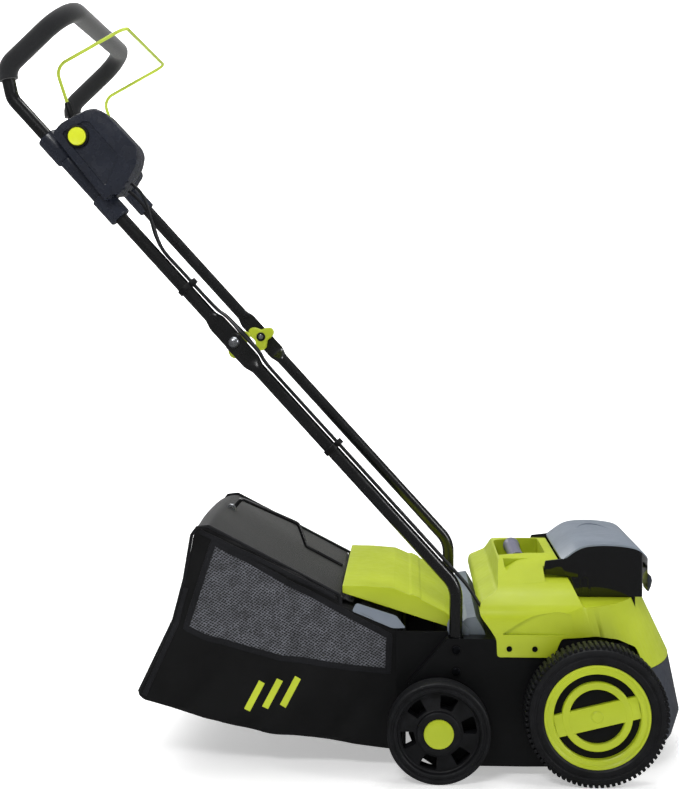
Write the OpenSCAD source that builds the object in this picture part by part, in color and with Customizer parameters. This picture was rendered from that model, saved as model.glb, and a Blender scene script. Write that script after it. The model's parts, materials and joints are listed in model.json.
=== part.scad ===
// Walk-behind battery lawn dethatcher with a folding handle and a collection bag.
// Millimetres. +X is the way it is pushed, +Y is the operator's left, +Z is up.
// The origin is on the ground under the middle of the machine.

/* [Wheels] */
// Radius of each front wheel
front_wheel_r = 100; // [90:1:105]
// Width of each front wheel
front_wheel_w = 44; // [34:1:50]
// Radius of each rear wheel
rear_wheel_r = 72.5; // [62:0.5:76]
// Width of each rear wheel
rear_wheel_w = 34; // [26:1:42]
// Fore and aft distance between the front and rear wheels
wheelbase = 219; // [205:1:230]
// Radius of the front hub where the tyre seats
front_hub_r = 74; // [66:1:80]
// Radius of the wheel stub shafts
stub_r = 6; // [5:0.5:7]

/* [Deck] */
// Outside width of the deck
deck_w = 426; // [400:2:426]
// Wall thickness of the deck
deck_wall = 3; // [2:0.5:4]
// Height of the deck's flat top
deck_top = 197; // [190:1:204]

/* [Rotor] */
// Radius that the tine tips reach
tine_reach = 54; // [46:1:56]
// Diameter of the tine wire
tine_wire = 3.2; // [2.5:0.1:4]
// Number of double tines along the rotor
tine_count = 14; // [8:1:18]
// Radius of the rotor shaft
rotor_shaft_r = 8; // [7:0.5:9]
// Radius of the rotor's belt pulley
rotor_pulley_r = 24; // [20:1:26]
// Radius of the motor's belt pulley
motor_pulley_r = 16; // [12:1:18]
// Radius of the motor can
motor_r = 35; // [28:1:36]

/* [Hood] */
// How far the hood's skirt stands outside the deck
hood_lap = 3; // [2:0.5:6]
// Wall thickness of the hood
hood_wall = 2.6; // [2:0.2:3]
// Width of the hand recess in the hood
recess_w = 140; // [110:2:160]

/* [Battery] */
// Room across the lid beside each battery
lid_room = 16.5; // [14:0.5:24]
// Room under the lid above the batteries
lid_clear = 15.5; // [12:0.5:24]
// Wall thickness of the battery lid
lid_wall = 3; // [2:0.5:4]
// Length of one battery
battery_l = 74; // [60:1:76]
// Width of one battery
battery_w = 108; // [90:1:112]
// Height of one battery
battery_h = 84; // [70:1:86]

/* [Handle] */
// Outside diameter of the handle tubes
tube_d = 19; // [16:0.5:20]
// Wall thickness of the handle tubes
tube_wall = 1.5; // [1:0.1:2.5]
// Angle of the handle above the ground
handle_angle = 47.67; // [45:0.1:50]
// Length of the upper tube from the fold bolt to its first bend
upper_len = 466; // [430:1:500]
// Thickness of each flattened tube end at the fold bolt
flat_t = 4.7; // [3:0.1:5]
// Diameter of the fold bolts
fold_bolt_d = 8; // [6:0.5:9]
// Outside diameter of the foam grip
grip_d = 28; // [25:0.5:32]
// Diameter of the bail wire
bail_wire_d = 5; // [4:0.5:6]
// Diameter of the lock button
button_d = 25; // [18:1:28]

/* [Bag] */
// Distance from each side of the deck in to the side of the bag
bag_inset = 27; // [24:1:50]
// Thickness of the bag's walls
bag_wall = 4; // [3:0.5:6]

/* [Flap] */
// Distance from each side of the deck in to the side of the flap
flap_inset = 33; // [30:1:60]
// Wall thickness of the rear flap
flap_wall = 3; // [2:0.5:4]

/* [Fits] */
// Radial clearance of a shaft that turns in a bore
run_gap = 0.05; // [0.03:0.01:0.08]
// Gap between pieces that move past each other
free_gap = 0.5; // [0.4:0.1:1]
// Gap between pieces that seat on each other
seat_gap = 0.05; // [0.02:0.01:0.2]

/* [Hidden] */
$fn = 48;

lime = "#b9c92f";
black = "#17181b";
slate = "#33363f";
grey = "#959faa";
steel = "#b8bcc2";

// Wheel places
front_x = 345;
rear_x = front_x - wheelbase;
deck_half = deck_w / 2;
wheel_in = deck_half + 8.5;
rear_in = deck_half + 13;
// The front axle turns about this line, and its cranks carry the wheels
crank_drop = 12;
axle_x = front_x + crank_drop;
axle_z = front_wheel_r + crank_drop;
crank_t = 3.2;
crank_y = deck_half + 4;

// Rotor and motor
rotor_x = 235;
rotor_z = 62;
motor_x = 262;
motor_z = 186;
belt_y = deck_half - 23;
belt_w = 8;
belt_t = 4;
cover_y = deck_half - 34;
cover_t = 3;
bearing_r = 16;
bearing_w = 9;

// Hood
hood_half = deck_half + hood_lap;
hood_top = 297;
recess_x = [219, 289];
recess_floor = 240;
nose_x = 482;
nose_lean = 0.484;
skirt_z = 142;
nose_c = 252;
deck_nose = 455;
guard_wall = 4;
guard_rib_y = 90;
screw_x = [226, 262];
screw_z = 184;
screw_r = 1.8;

// Battery lid
lid_half = battery_w + lid_room;
lid_pivot = [292, 283];
lid_arm_t = 5.5;
lid_pin_r = 3;
lid_skin = 2.5;
lid_plan_c = 125;
lid_plan_r = 325;
bay_floor = 214;
bay_top = 241;
battery_x = 375;
battery_room = 5;
bay_x = [battery_x - battery_l / 2 - battery_room, battery_x + battery_l / 2 + battery_room];
battery_z = bay_floor + 5.5;
lid_top = battery_z + battery_h + lid_clear;
latch_pivot = [452, 255];
latch_half = 20;
latch_barrel_r = 1.5;
latch_pin_r = 0.8;
latch_ear_t = 3;

// Handle: a point on it is s along the tube from the fold bolt, n above the tube, y across
tube_r = tube_d / 2;
tube_y = deck_half - deck_wall - tube_r - free_gap;
bolt_z = [150, 181];
fold_x = -165;
fold_z = 617;
dir_x = -cos(handle_angle);
dir_z = sin(handle_angle);
function on_handle(s, n, y) = [fold_x + s * dir_x + n * dir_z, y, fold_z + s * dir_z - n * dir_x];
foot_x = 151;
foot_z = 120;
flat_len = 34;
swell_len = 18;
flat_half = 13.5;
foot_bend_z = fold_z - (foot_x - fold_x) * tan(handle_angle);
upper_bend = [fold_x + upper_len * dir_x, fold_z + upper_len * dir_z];
riser = [upper_bend[0] - 9, upper_bend[1] + 43];
loop_top = [upper_bend[0] + 83, upper_bend[1] + 128];

// Bail
bail_pivot = [upper_bend[0] + 83, upper_bend[1] - 41];
bail_y = tube_y - 33.5;
lever_t = 9;
bail_pin_r = 4;
lever_dir = [-29, 90] / norm([-29, 90]);

// Switch box on the right tube
box_out = 32;
box_in = 28;
box_wall = 2.6;
button_at = [upper_bend[0] + 99, upper_bend[1] - 57];
button_stand = 4;
button_travel = 5;

// Bag and flap
bag_half = deck_half - bag_inset;
mouth_half = bag_half - 10;
flap_half = deck_half - flap_inset;
plate_half = flap_half + 4;
ear_t = 4.5;
mouth_x = 74;
mouth_t = 6;
flap_pivot = [148, 212];
flap_pin_r = 3;

// Leads: s, n and distance out from the middle of the right tube, chosen by hand
lead_d = 4.6;
lead_gap = 0.4;
lead_a_top = [[262, 45, 12], [244, 46, 12], [224, 40, 10], [204, 29, 7], [184, 19, 4], [160, 13, 3],
    [120, 13, 3], [80, 13, 3], [50, 14, 4]];
lead_b_top = [[258, 34, 6], [240, 36, 3], [220, 34, 1], [200, 27, -1], [180, 18, -2], [160, 13, -3],
    [120, 13, -3], [80, 13, -3], [50, 14, -3]];
lead_a_mid = [[49, 14, 4], [36, 17, 7], [22, 18, 11], [0, 18, 19], [-22, 18, 13], [-36, 17, 8],
    [-49, 14, 4]];
lead_b_mid = [[49, 14, -3], [36, 17, -2], [22, 18, -1], [0, 19, -0.5], [-22, 18, -1], [-36, 17, -2],
    [-49, 14, -3]];
lead_a_low = [[-50, 14, 4], [-80, 13, 3], [-200, 13, 3], [-280, 13, 3], [-350, 13, 3], [-420, 13, 3],
    [-450, 13, 2], [-480, 12, 1], [-510, 7, -1], [-536, 4, -3]];
lead_b_low = [[-50, 14, -3], [-80, 13, -3], [-200, 13, -3], [-280, 13, -3], [-350, 13, -3], [-420, 13, -3],
    [-450, 13, -4], [-480, 12, -6], [-510, 7, -8], [-536, 4, -10]];
clip_s_top = 102;
clip_s_low = -205;

function unit(v) = v / norm(v);

// ---------- shared shapes ----------

// Profile in the X-Z plane, extruded from y0 to y1
module side(y0, y1) {
    translate([0, y1, 0]) rotate([90, 0, 0]) linear_extrude(y1 - y0) children();
}

// Cylinder along Y
module cross_rod(x, z, r, y0, y1) {
    translate([x, y1, z]) rotate([90, 0, 0]) cylinder(h = y1 - y0, r = r);
}

// Round bar from one point to another
module bar(a, b, r) {
    v = b - a;
    translate(a) rotate([0, acos(v[2] / norm(v)), atan2(v[1], v[0])]) cylinder(h = norm(v), r = r);
}

// Points along a path whose inner corners are rounded with the given radii
function rounded_path(path, bends, steps) = let (
    n = len(path),
    u = [for (i = [0 : n - 2]) unit(path[i + 1] - path[i])],
    turn = [for (i = [1 : n - 2]) acos(u[i - 1] * u[i])])
    concat([path[0]],
        [for (i = [1 : n - 2]) let (
            axis = unit(cross(u[i - 1], u[i])),
            inward = cross(axis, u[i - 1]),
            cut = bends[i - 1] * tan(turn[i - 1] / 2),
            c = path[i] - u[i - 1] * cut + inward * bends[i - 1])
            each [for (k = [0 : steps]) let (a = turn[i - 1] * k / steps)
                c - inward * bends[i - 1] * cos(a) + u[i - 1] * bends[i - 1] * sin(a)]],
        [path[n - 1]]);

// Direction of travel at each point of a list
function headings(pts) = let (n = len(pts))
    [for (i = [0 : n - 1]) unit(pts[min(i + 1, n - 1)] - pts[max(i - 1, 0)])];

// Side vectors carried along the list without twist
function carried(dirs, first) = [for (i = 0, v = first; i < len(dirs);
    i = i + 1, v = i < len(dirs) ? unit(v - dirs[i] * (v * dirs[i])) : v) v];

// Tube swept along a list of points; r_in = 0 makes a solid bar
module pipe(pts, r_out, r_in, sides) {
    n = len(pts);
    dirs = headings(pts);
    sidev = carried(dirs, unit(cross(dirs[0], [0.0, 1, 0.0])));
    function ring(i, r) = let (w = cross(dirs[i], sidev[i]))
        [for (k = [0 : sides - 1]) pts[i] + (sidev[i] * cos(k * 360 / sides) + w * sin(k * 360 / sides)) * r];
    function next(k) = (k + 1) % sides;
    outer = [for (i = [0 : n - 1]) each ring(i, r_out)];
    inner = r_in > 0 ? [for (i = [0 : n - 1]) each ring(i, r_in)] : [];
    o = n * sides;
    e = (n - 1) * sides;
    polyhedron(points = concat(outer, inner), faces = concat(
        [for (i = [0 : n - 2]) for (k = [0 : sides - 1])
            [i * sides + k, (i + 1) * sides + k, (i + 1) * sides + next(k), i * sides + next(k)]],
        r_in > 0
            ? concat(
                [for (i = [0 : n - 2]) for (k = [0 : sides - 1])
                    [o + i * sides + k, o + i * sides + next(k), o + (i + 1) * sides + next(k),
                        o + (i + 1) * sides + k]],
                [for (k = [0 : sides - 1]) [k, next(k), o + next(k), o + k]],
                [for (k = [0 : sides - 1]) [e + k, o + e + k, o + e + next(k), e + next(k)]])
            : [[for (k = [0 : sides - 1]) k], [for (k = [sides - 1 : -1 : 0]) e + k]]));
}

function lead_point(p) = on_handle(p[0], p[1], -tube_y - p[2]);

module leads(list_a, list_b) {
    color(black) for (list = [list_a, list_b]) pipe([for (p = list) lead_point(p)], lead_d / 2, 0, 8);
}

// Hole for the end of a lead, along its last stretch
module lead_entry(list) {
    n = len(list);
    a = lead_point(list[n - 2]);
    b = lead_point(list[n - 1]);
    bar(a, b + (b - a) / 2, lead_d / 2 + lead_gap);
}

// Rounded nose outline seen from above, reaching x = nose at the middle and half wide at the back
module nose_plan(nose, half, back) {
    steps = 18;
    polygon(concat([[back, -half]],
        [for (i = [0 : steps]) let (t = -90 + i * 180 / steps)
            [nose_c + (nose - nose_c) * pow(max(cos(t), 0), 0.7), half * sin(t)]],
        [[back, half]]));
}

// ---------- deck ----------

module deck_outline() {
    polygon([[138, deck_top], [330, deck_top], [446, 172], [456, 120], [450, 62], [425, 30], [390, 14],
        [120, 14], [96, 30], [84, 60], [84, 132]]);
}

// The deck's outer form, grown by a gap where another piece seats on it
module deck_form(gap) {
    intersection() {
        side(-deck_half - gap, deck_half + gap) offset(delta = gap) deck_outline();
        linear_extrude(deck_top + 10) offset(delta = gap) nose_plan(deck_nose, deck_half, 70);
    }
}

// Cheek beside the mouth of the bag, behind the deck
module deck_cheek(s) {
    cheek_y = bag_half + 4;
    y0 = s > 0 ? cheek_y : -cheek_y - deck_wall;
    top = deck_top + 6;
    color(black) side(y0, y0 + deck_wall)
        polygon([[66, 62], [86, 58], [86, 133], [140, deck_top - 1], [140, top], [66, top]]);
}

module deck_shell() {
    inner = deck_half - deck_wall;
    deck_cheek(-1);
    deck_cheek(1);
    color(black) difference() {
        deck_form(0);
        deck_form(-deck_wall);
        translate([112, -inner + 8, 0]) cube([290, 2 * inner - 16, 30]);
        translate([60, -mouth_half, 60]) cube([80, 2 * mouth_half, 118]);
        translate([motor_x - motor_r - 3, -92, deck_top - 10]) cube([2 * motor_r + 6, 184, 20]);
        translate([198, cover_y - 1, deck_top - 10]) cube([96, belt_y + 8 - cover_y, 20]);
        for (side_y = [-1, 1]) {
            translate([foot_x - tube_r - 1, side_y * tube_y - tube_r - 1, deck_top - 10])
                cube([tube_d + 2, tube_d + 2, 20]);
            for (z = bolt_z) cross_rod(foot_x, z, 3, side_y * deck_half - 8, side_y * deck_half + 8);
        }
        cross_rod(axle_x, axle_z, stub_r + run_gap, -deck_half - 1, deck_half + 1);
        cross_rod(rear_x, rear_wheel_r, stub_r, -deck_half - 1, deck_half + 1);
        for (x = screw_x) cross_rod(x, screw_z, screw_r, -deck_half - 1, deck_half + 1);
    }
}

module deck_plate() {
    color(grey) difference() {
        union() {
            side(-plate_half, plate_half)
                polygon([[158, deck_top], [158, 214], [168, 221], [180, 223], [192, 203], [194, deck_top]]);
            for (y = [-plate_half - ear_t, plate_half]) side(y, y + ear_t)
                polygon([[139, deck_top], [139, 212], [142, 220], [154, 220], [170, 205], [170, deck_top]]);
        }
        side(-plate_half + 3, plate_half - 3)
            polygon([[161, 212], [170, 218], [178, 220], [188, 202], [190, deck_top - 1],
                [161, deck_top - 1]]);
        cross_rod(flap_pivot[0], flap_pivot[1], flap_pin_r, -plate_half - ear_t - 1,
            plate_half + ear_t + 1);
    }
}

module front_guard() {
    color("#464b55") difference() {
        union() {
            intersection() {
                difference() {
                    guard_solid(0);
                    guard_solid(guard_wall);
                }
                translate([402, -deck_half, 0]) cube([110, 2 * deck_half, 200]);
            }
            intersection() {
                guard_solid(guard_wall / 2);
                for (y = [-guard_rib_y, 0, guard_rib_y]) translate([430, y - 6, 90]) cube([80, 12, 40]);
            }
        }
        deck_form(seat_gap);
    }
}

// Leaning apron whose outline grows towards the ground
module guard_solid(inset) {
    hull() for (p = [[25 - inset, 491], [55, 500.5], [skirt_z - 2 + inset, nose_x]])
        translate([0, 0, p[0]]) linear_extrude(1) nose_plan(p[1] - inset, deck_half + 1 - inset, 160);
}

// ---------- hood ----------

module hood_outline() {
    polygon([[209, 172], [208, 197], [200, 210], [184, 232], [186, 248], [211, 262], [217, 293], [235, 295],
        [264, hood_top], [303, hood_top], [318, 268], [331, bay_top], [424, bay_top], [442, 233],
        [505, skirt_z], [428, skirt_z], [412, 176], [383, 192], [350, 200], [300, 199], [288, 172]]);
}

module hood_front(inset) {
    h = hood_half - inset;
    top = hood_top - inset;
    polygon([[-h, 100], [-h, 234], [-h + 30, 262], [-84, top],
        [84, top], [h - 30, 262], [h, 234], [h, 100]]);
}

// The hood's front, which leans back as it rises from the skirt
module hood_nose(inset) {
    hull() for (z = [100, 330]) translate([0, 0, z]) linear_extrude(1)
        nose_plan(nose_x - (z - skirt_z) * nose_lean - inset, hood_half - inset, 160);
}

module hood_form(inset) {
    intersection() {
        side(-hood_half, hood_half) offset(delta = -inset) hood_outline();
        translate([150, 0, 0]) rotate([90, 0, 90]) linear_extrude(360) hood_front(inset);
        hood_nose(inset);
    }
}

module motor_hood() {
    half_r = recess_w / 2;
    color(lime) difference() {
        hood_form(0);
        difference() {
            hood_form(hood_wall);
            translate([recess_x[0] - hood_wall, -half_r - hood_wall, recess_floor - hood_wall])
                cube([recess_x[1] - recess_x[0] + 2 * hood_wall, recess_w + 2 * hood_wall, 100]);
        }
        translate([recess_x[0], -half_r, recess_floor]) cube([recess_x[1] - recess_x[0], recess_w, 100]);
        deck_form(seat_gap);
        translate([212, -hood_half + hood_wall, 160]) cube([188, 2 * (hood_half - hood_wall), 43]);
        intersection() {
            hood_nose(hood_wall);
            translate([398, -hood_half + hood_wall, 120]) cube([100, 2 * (hood_half - hood_wall), 70]);
        }
        translate([bay_x[0], -lid_half + 1, bay_top - 20])
            cube([bay_x[1] - bay_x[0], 2 * lid_half - 2, 40]);
        for (s = [-1, 1])
            translate([281, s > 0 ? lid_half - lid_arm_t - 1 : -hood_half - 1, 269.5])
                cube([50, hood_half - lid_half + lid_arm_t + 2, 60]);
        for (x = screw_x) cross_rod(x, screw_z, screw_r, -hood_half - 1, hood_half + 1);
        lead_entry(lead_a_low);
        lead_entry(lead_b_low);
    }
    color(lime) for (s = [-1, 1]) {
        y0 = s > 0 ? lid_half - lid_arm_t - 3 : -lid_half - 1;
        cross_rod(lid_pivot[0], lid_pivot[1], lid_pin_r, y0, y0 + lid_arm_t + 4);
    }
}

module carry_handle() {
    half_r = recess_w / 2;
    color("#6e6e7d") cross_rod(248, hood_top - 12, 11, -half_r, half_r);
}

module hood_screws() {
    color(steel) for (x = screw_x) for (s = [-1, 1]) {
        y0 = s > 0 ? hood_half - 8 : -hood_half;
        cross_rod(x, screw_z, screw_r, y0, y0 + 8);
        h0 = s > 0 ? hood_half : -hood_half - 0.8;
        cross_rod(x, screw_z, 4, h0, h0 + 0.8);
    }
}

// ---------- battery compartment ----------

module battery_bay() {
    half = lid_half - 2.5;
    color(black) difference() {
        translate([bay_x[0] + 0.5, -half, bay_floor])
            cube([bay_x[1] - bay_x[0] - 1, 2 * half, bay_top - bay_floor]);
        for (s = [-1, 1]) translate([bay_x[0] + 3, s > 0 ? 2 : -half + 2, bay_floor + 3])
            cube([bay_x[1] - bay_x[0] - 6, half - 4, 60]);
    }
    color("#c7a250") for (s = [-1, 1]) for (dy = [-12, 0, 12])
        translate([battery_x - 12, s * (half / 2 + 1) + dy - 1.5, bay_floor + 3]) cube([24, 3, 2]);
}

module battery(s) {
    y_mid = s * (lid_half - 2.5) / 2;
    color("#23262c") difference() {
        translate([battery_x - battery_l / 2, y_mid - battery_w / 2, battery_z])
            cube([battery_l, battery_w, battery_h]);
        translate([battery_x + battery_l / 2 - 3, y_mid - 22, battery_z + battery_h - 28])
            cube([10, 44, 14]);
    }
}

module battery_right() {
    battery(-1);
}

module battery_left() {
    battery(1);
}

// Top line of the lid: x, and how far below the highest point
lid_crown = [[308.5, 23], [334, 5], [357, 0], [388, 0], [418, 5], [434, 18], [450, 38]];
lid_inside = [[313, 28], [336, 10.5], [357, 5.5], [388, 5.5], [416, 10], [431, 22], [446, 41]];
function lid_line(crown, drop) = [for (p = crown) [p[0], lid_top - p[1] - drop]];

module lid_plan(inset) {
    intersection() {
        translate([lid_plan_c, 0]) circle(lid_plan_r - inset, $fn = 120);
        translate([280, -lid_half + inset]) square([200, 2 * (lid_half - inset)]);
    }
}

module battery_lid() {
    color(black) difference() {
        union() {
            intersection() {
                side(-lid_half, lid_half)
                    polygon(concat(lid_line(lid_crown, lid_skin),
                        [[450, bay_top + 1], [331.5, bay_top + 1]]));
                linear_extrude(340) lid_plan(0);
            }
            for (s = [-1, 1]) {
                y0 = s > 0 ? lid_half - lid_arm_t : -lid_half;
                side(y0, y0 + lid_arm_t)
                    polygon([[292, 274], [330, 274], [330, lid_top - 13], [308.5, lid_top - 25.6],
                        [292, 292]]);
                cross_rod(lid_pivot[0], lid_pivot[1], 9, y0, y0 + lid_arm_t);
            }
            for (y = [-latch_half - free_gap - latch_ear_t, latch_half + free_gap]) {
                side(y, y + latch_ear_t) polygon([[449, 252.8], [452, 252.8], [452, 257.2], [449, 257.2]]);
                cross_rod(latch_pivot[0], latch_pivot[1], 2.2, y, y + latch_ear_t);
            }
        }
        intersection() {
            side(-lid_half + lid_arm_t, lid_half - lid_arm_t)
                polygon(concat([[300, 200], [300, lid_top - 39]], lid_line(lid_inside, 0), [[446, 200]]));
            linear_extrude(340) lid_plan(lid_wall);
        }
        cross_rod(lid_pivot[0], lid_pivot[1], lid_pin_r + run_gap, -lid_half - 1, lid_half + 1);
    }
    color(black)
        cross_rod(latch_pivot[0], latch_pivot[1], latch_pin_r, -latch_half - latch_ear_t,
            latch_half + latch_ear_t);
}

module lid_panel() {
    line_top = lid_line(lid_crown, 0);
    line_low = lid_line(lid_crown, lid_skin);
    color(grey) intersection() {
        side(-lid_half, lid_half) polygon(concat(line_top, [for (i = [6 : -1 : 0]) line_low[i]]));
        linear_extrude(340) lid_plan(0);
    }
}

// Finger latch on the front of the lid
module lid_latch() {
    x = latch_pivot[0] - latch_barrel_r;
    z = latch_pivot[1];
    color("#565b66") difference() {
        union() {
            cross_rod(latch_pivot[0], z, latch_barrel_r, -latch_half, latch_half);
            side(-latch_half, latch_half)
                polygon([[x, z], [latch_pivot[0] + latch_barrel_r, z], [x + 8, z - 8], [x + 3, z - 25],
                    [x, z - 25]]);
        }
        cross_rod(latch_pivot[0], z, latch_pin_r + run_gap, -latch_half - 1, latch_half + 1);
    }
}

// ---------- drive ----------

module drive_motor() {
    color("#3a3d42") difference() {
        union() {
            cross_rod(motor_x, motor_z, motor_r, -85, 75);
            cross_rod(motor_x, motor_z, 14, 75, 84);
        }
        cross_rod(motor_x, motor_z, 5 + run_gap, -80, 90);
    }
}

module motor_shaft() {
    color(steel) cross_rod(motor_x, motor_z, 5, -78, belt_y + 6);
}

module pulley(x, z, r, bore) {
    color("#44474c") difference() {
        union() {
            cross_rod(x, z, r, belt_y - belt_w / 2 - 0.3, belt_y + belt_w / 2 + 0.3);
            for (y = [belt_y - belt_w / 2 - 1.8, belt_y + belt_w / 2 + 0.3])
                cross_rod(x, z, r + 3, y, y + 1.5);
        }
        cross_rod(x, z, bore, belt_y - 20, belt_y + 20);
    }
}

module motor_pulley() {
    pulley(motor_x, motor_z, motor_pulley_r, 5);
}

module rotor_pulley() {
    pulley(rotor_x, rotor_z, rotor_pulley_r, rotor_shaft_r);
}

module belt_loop(gap) {
    hull() {
        translate([rotor_x, rotor_z]) circle(rotor_pulley_r + gap);
        translate([motor_x, motor_z]) circle(motor_pulley_r + gap);
    }
}

module drive_belt() {
    color("#202022") side(belt_y - belt_w / 2, belt_y + belt_w / 2) difference() {
        belt_loop(0.4 + belt_t);
        belt_loop(0.4);
    }
}

module belt_cover() {
    color("#2a2c30") difference() {
        side(cover_y, cover_y + cover_t)
            polygon([[200, 40], [214, 28], [262, 28], [272, 40], [290, 188], [290, 206], [278, 212],
                [238, 212], [226, 204]]);
        cross_rod(rotor_x, rotor_z, bearing_r, cover_y - 5, cover_y + 8);
        cross_rod(motor_x, motor_z, 7, cover_y - 5, cover_y + 8);
    }
}

module bearing(y0) {
    color(steel) difference() {
        cross_rod(rotor_x, rotor_z, bearing_r, y0, y0 + bearing_w);
        cross_rod(rotor_x, rotor_z, rotor_shaft_r + run_gap, y0 - 1, y0 + bearing_w + 1);
    }
}

module rotor_bearings() {
    bearing(-deck_half + deck_wall);
    bearing(cover_y + cover_t - bearing_w);
}

module rotor_shaft() {
    color(steel) cross_rod(rotor_x, rotor_z, rotor_shaft_r, -deck_half + deck_wall + 2, belt_y + 8);
}

tine_half = cover_y - 17;
function tine_y(i) = -tine_half + i * 2 * tine_half / (tine_count - 1);

module tine_holders() {
    color(black) for (i = [0 : tine_count - 1]) difference() {
        cross_rod(rotor_x, rotor_z, 19, tine_y(i) - 5, tine_y(i) + 5);
        cross_rod(rotor_x, rotor_z, rotor_shaft_r, tine_y(i) - 9, tine_y(i) + 9);
    }
}

// One double tine: a coil beside the holder with a leg at each end
module tine(i) {
    wire = tine_wire / 2;
    translate([rotor_x, tine_y(i), rotor_z]) rotate([0, i * 75, 0]) translate([25, 0, 0]) {
        difference() {
            cross_rod(0, 0, 5.8, -4.8, 4.8);
            cross_rod(0, 0, 2.8, -6, 6);
        }
        for (y = [-4.8 + wire, 4.8 - wire])
            bar([3, y, 2.5], [tine_reach - 25 - 2, y, -5], wire);
    }
}

module spring_tines() {
    color("#8d8f93") for (i = [0 : tine_count - 1]) tine(i);
}

module controller_board() {
    color("#1e5b3a") translate([222, cover_y - 87, 222]) cube([44, 70, 2]);
    color(black) for (y = [81, 59, 37]) translate([232, cover_y - y, 224]) cube([16, 12, 9]);
}

// ---------- wheels and axles ----------

module front_axle() {
    color(steel) {
        cross_rod(axle_x, axle_z, stub_r, -crank_y - 1, crank_y + 1);
        for (s = [-1, 1]) {
            y0 = s > 0 ? crank_y + 1 : -crank_y - crank_t;
            y1 = y0 + crank_t - 1;
            hull() {
                cross_rod(axle_x, axle_z, 8, y0, y1);
                cross_rod(front_x, front_wheel_r, 8, y0, y1);
            }
            s0 = s > 0 ? y1 : -wheel_in - front_wheel_w + 4;
            s1 = s > 0 ? wheel_in + front_wheel_w - 4 : y0;
            cross_rod(front_x, front_wheel_r, stub_r, s0, s1);
        }
    }
}

module depth_lever() {
    y0 = crank_y - 0.4;
    color(slate) difference() {
        union() {
            cross_rod(axle_x, axle_z, 12, y0, y0 + 1.4);
            side(y0, y0 + 1.4)
                polygon([[axle_x - 8, axle_z + 2], [axle_x + 8, axle_z + 6], [298, 226], [286, 219]]);
            cross_rod(292, 221, 9, y0, y0 + 24);
        }
        cross_rod(axle_x, axle_z, stub_r, y0 - 1, y0 + 3);
    }
}

module ring_y(r_out, r_in, y0, y1, chamfer) {
    translate([0, y1, 0]) rotate([90, 0, 0]) rotate_extrude($fn = 96)
        polygon([[r_in, 0], [r_out - chamfer, 0], [r_out, chamfer], [r_out, y1 - y0 - chamfer],
            [r_out - chamfer, y1 - y0], [r_in, y1 - y0]]);
}

module front_tyre(s) {
    y0 = s > 0 ? wheel_in : -wheel_in - front_wheel_w;
    color("#1b1c20") translate([front_x, 0, front_wheel_r])
        ring_y(front_wheel_r, front_hub_r, y0, y0 + front_wheel_w, 5);
}

// Dished hub with a boss on the stub shaft
module front_hub(s) {
    y0 = s > 0 ? wheel_in : -wheel_in - front_wheel_w;
    y1 = y0 + front_wheel_w;
    face0 = s > 0 ? y1 - 12 : y0 + 3;
    color(lime) translate([front_x, 0, front_wheel_r]) difference() {
        union() {
            ring_y(front_hub_r, front_hub_r - 6, y0 + 3, y1 - 3, 0.5);
            cross_rod(0, 0, front_hub_r - 3, face0, face0 + 9);
            cross_rod(0, 0, 14, y0 + 4, y1 - 4);
        }
        cross_rod(0, 0, stub_r + run_gap, s > 0 ? y0 - 1 : y0 + 3.5, s > 0 ? y1 - 3.5 : y1 + 1);
    }
}

module front_tyre_right() {
    front_tyre(-1);
}

module front_hub_right() {
    front_hub(-1);
}

module front_tyre_left() {
    front_tyre(1);
}

module front_hub_left() {
    front_hub(1);
}

module rear_axles() {
    color(steel) for (s = [-1, 1]) {
        y0 = s > 0 ? deck_half - deck_wall - 4 : -rear_in - rear_wheel_w + 6;
        y1 = s > 0 ? rear_in + rear_wheel_w - 6 : -deck_half + deck_wall + 4;
        cross_rod(rear_x, rear_wheel_r, stub_r, y0, y1);
        n0 = s > 0 ? deck_half - deck_wall - 6 : -deck_half + deck_wall;
        difference() {
            cross_rod(rear_x, rear_wheel_r, 10, n0, n0 + 6);
            cross_rod(rear_x, rear_wheel_r, stub_r, n0 - 1, n0 + 7);
        }
    }
}

// Window between two spokes, as a sector of a ring
module window_outline(r_in, r_out, half_angle) {
    steps = 5;
    polygon(concat(
        [for (i = [-steps : steps]) let (a = half_angle * i / steps) [r_out * cos(a), r_out * sin(a)]],
        [for (i = [steps : -1 : -steps]) let (a = half_angle * i / steps) [r_in * cos(a), r_in * sin(a)]]));
}

module rear_wheel(s) {
    y0 = s > 0 ? rear_in : -rear_in - rear_wheel_w;
    y1 = y0 + rear_wheel_w;
    window_in = 31;
    window_out = 54;
    dish = 9;
    color(black) translate([rear_x, 0, rear_wheel_r]) difference() {
        cross_rod(0, 0, rear_wheel_r, y0, y1);
        difference() {
            cross_rod(0, 0, window_out + 5, s > 0 ? y1 - dish : y0 - 1, s > 0 ? y1 + 1 : y0 + dish);
            cross_rod(0, 0, window_in, y0 - 2, y1 + 2);
        }
        for (k = [0 : 5]) rotate([0, -13 - 60 * k, 0]) side(y0 - 3, y1 + 3)
            window_outline(window_in + 1, window_out, 14);
        cross_rod(0, 0, stub_r + run_gap, s > 0 ? y0 - 1 : y0 + 5, s > 0 ? y1 - 5 : y1 + 1);
    }
}

module rear_cap(s) {
    y0 = s > 0 ? rear_in + rear_wheel_w : -rear_in - rear_wheel_w - 3;
    color(lime) cross_rod(rear_x, rear_wheel_r, 21, y0, y0 + 3);
}

module rear_wheel_right() {
    rear_wheel(-1);
}

module rear_cap_right() {
    rear_cap(-1);
}

module rear_wheel_left() {
    rear_wheel(1);
}

module rear_cap_left() {
    rear_cap(1);
}

// ---------- handle ----------

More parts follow.
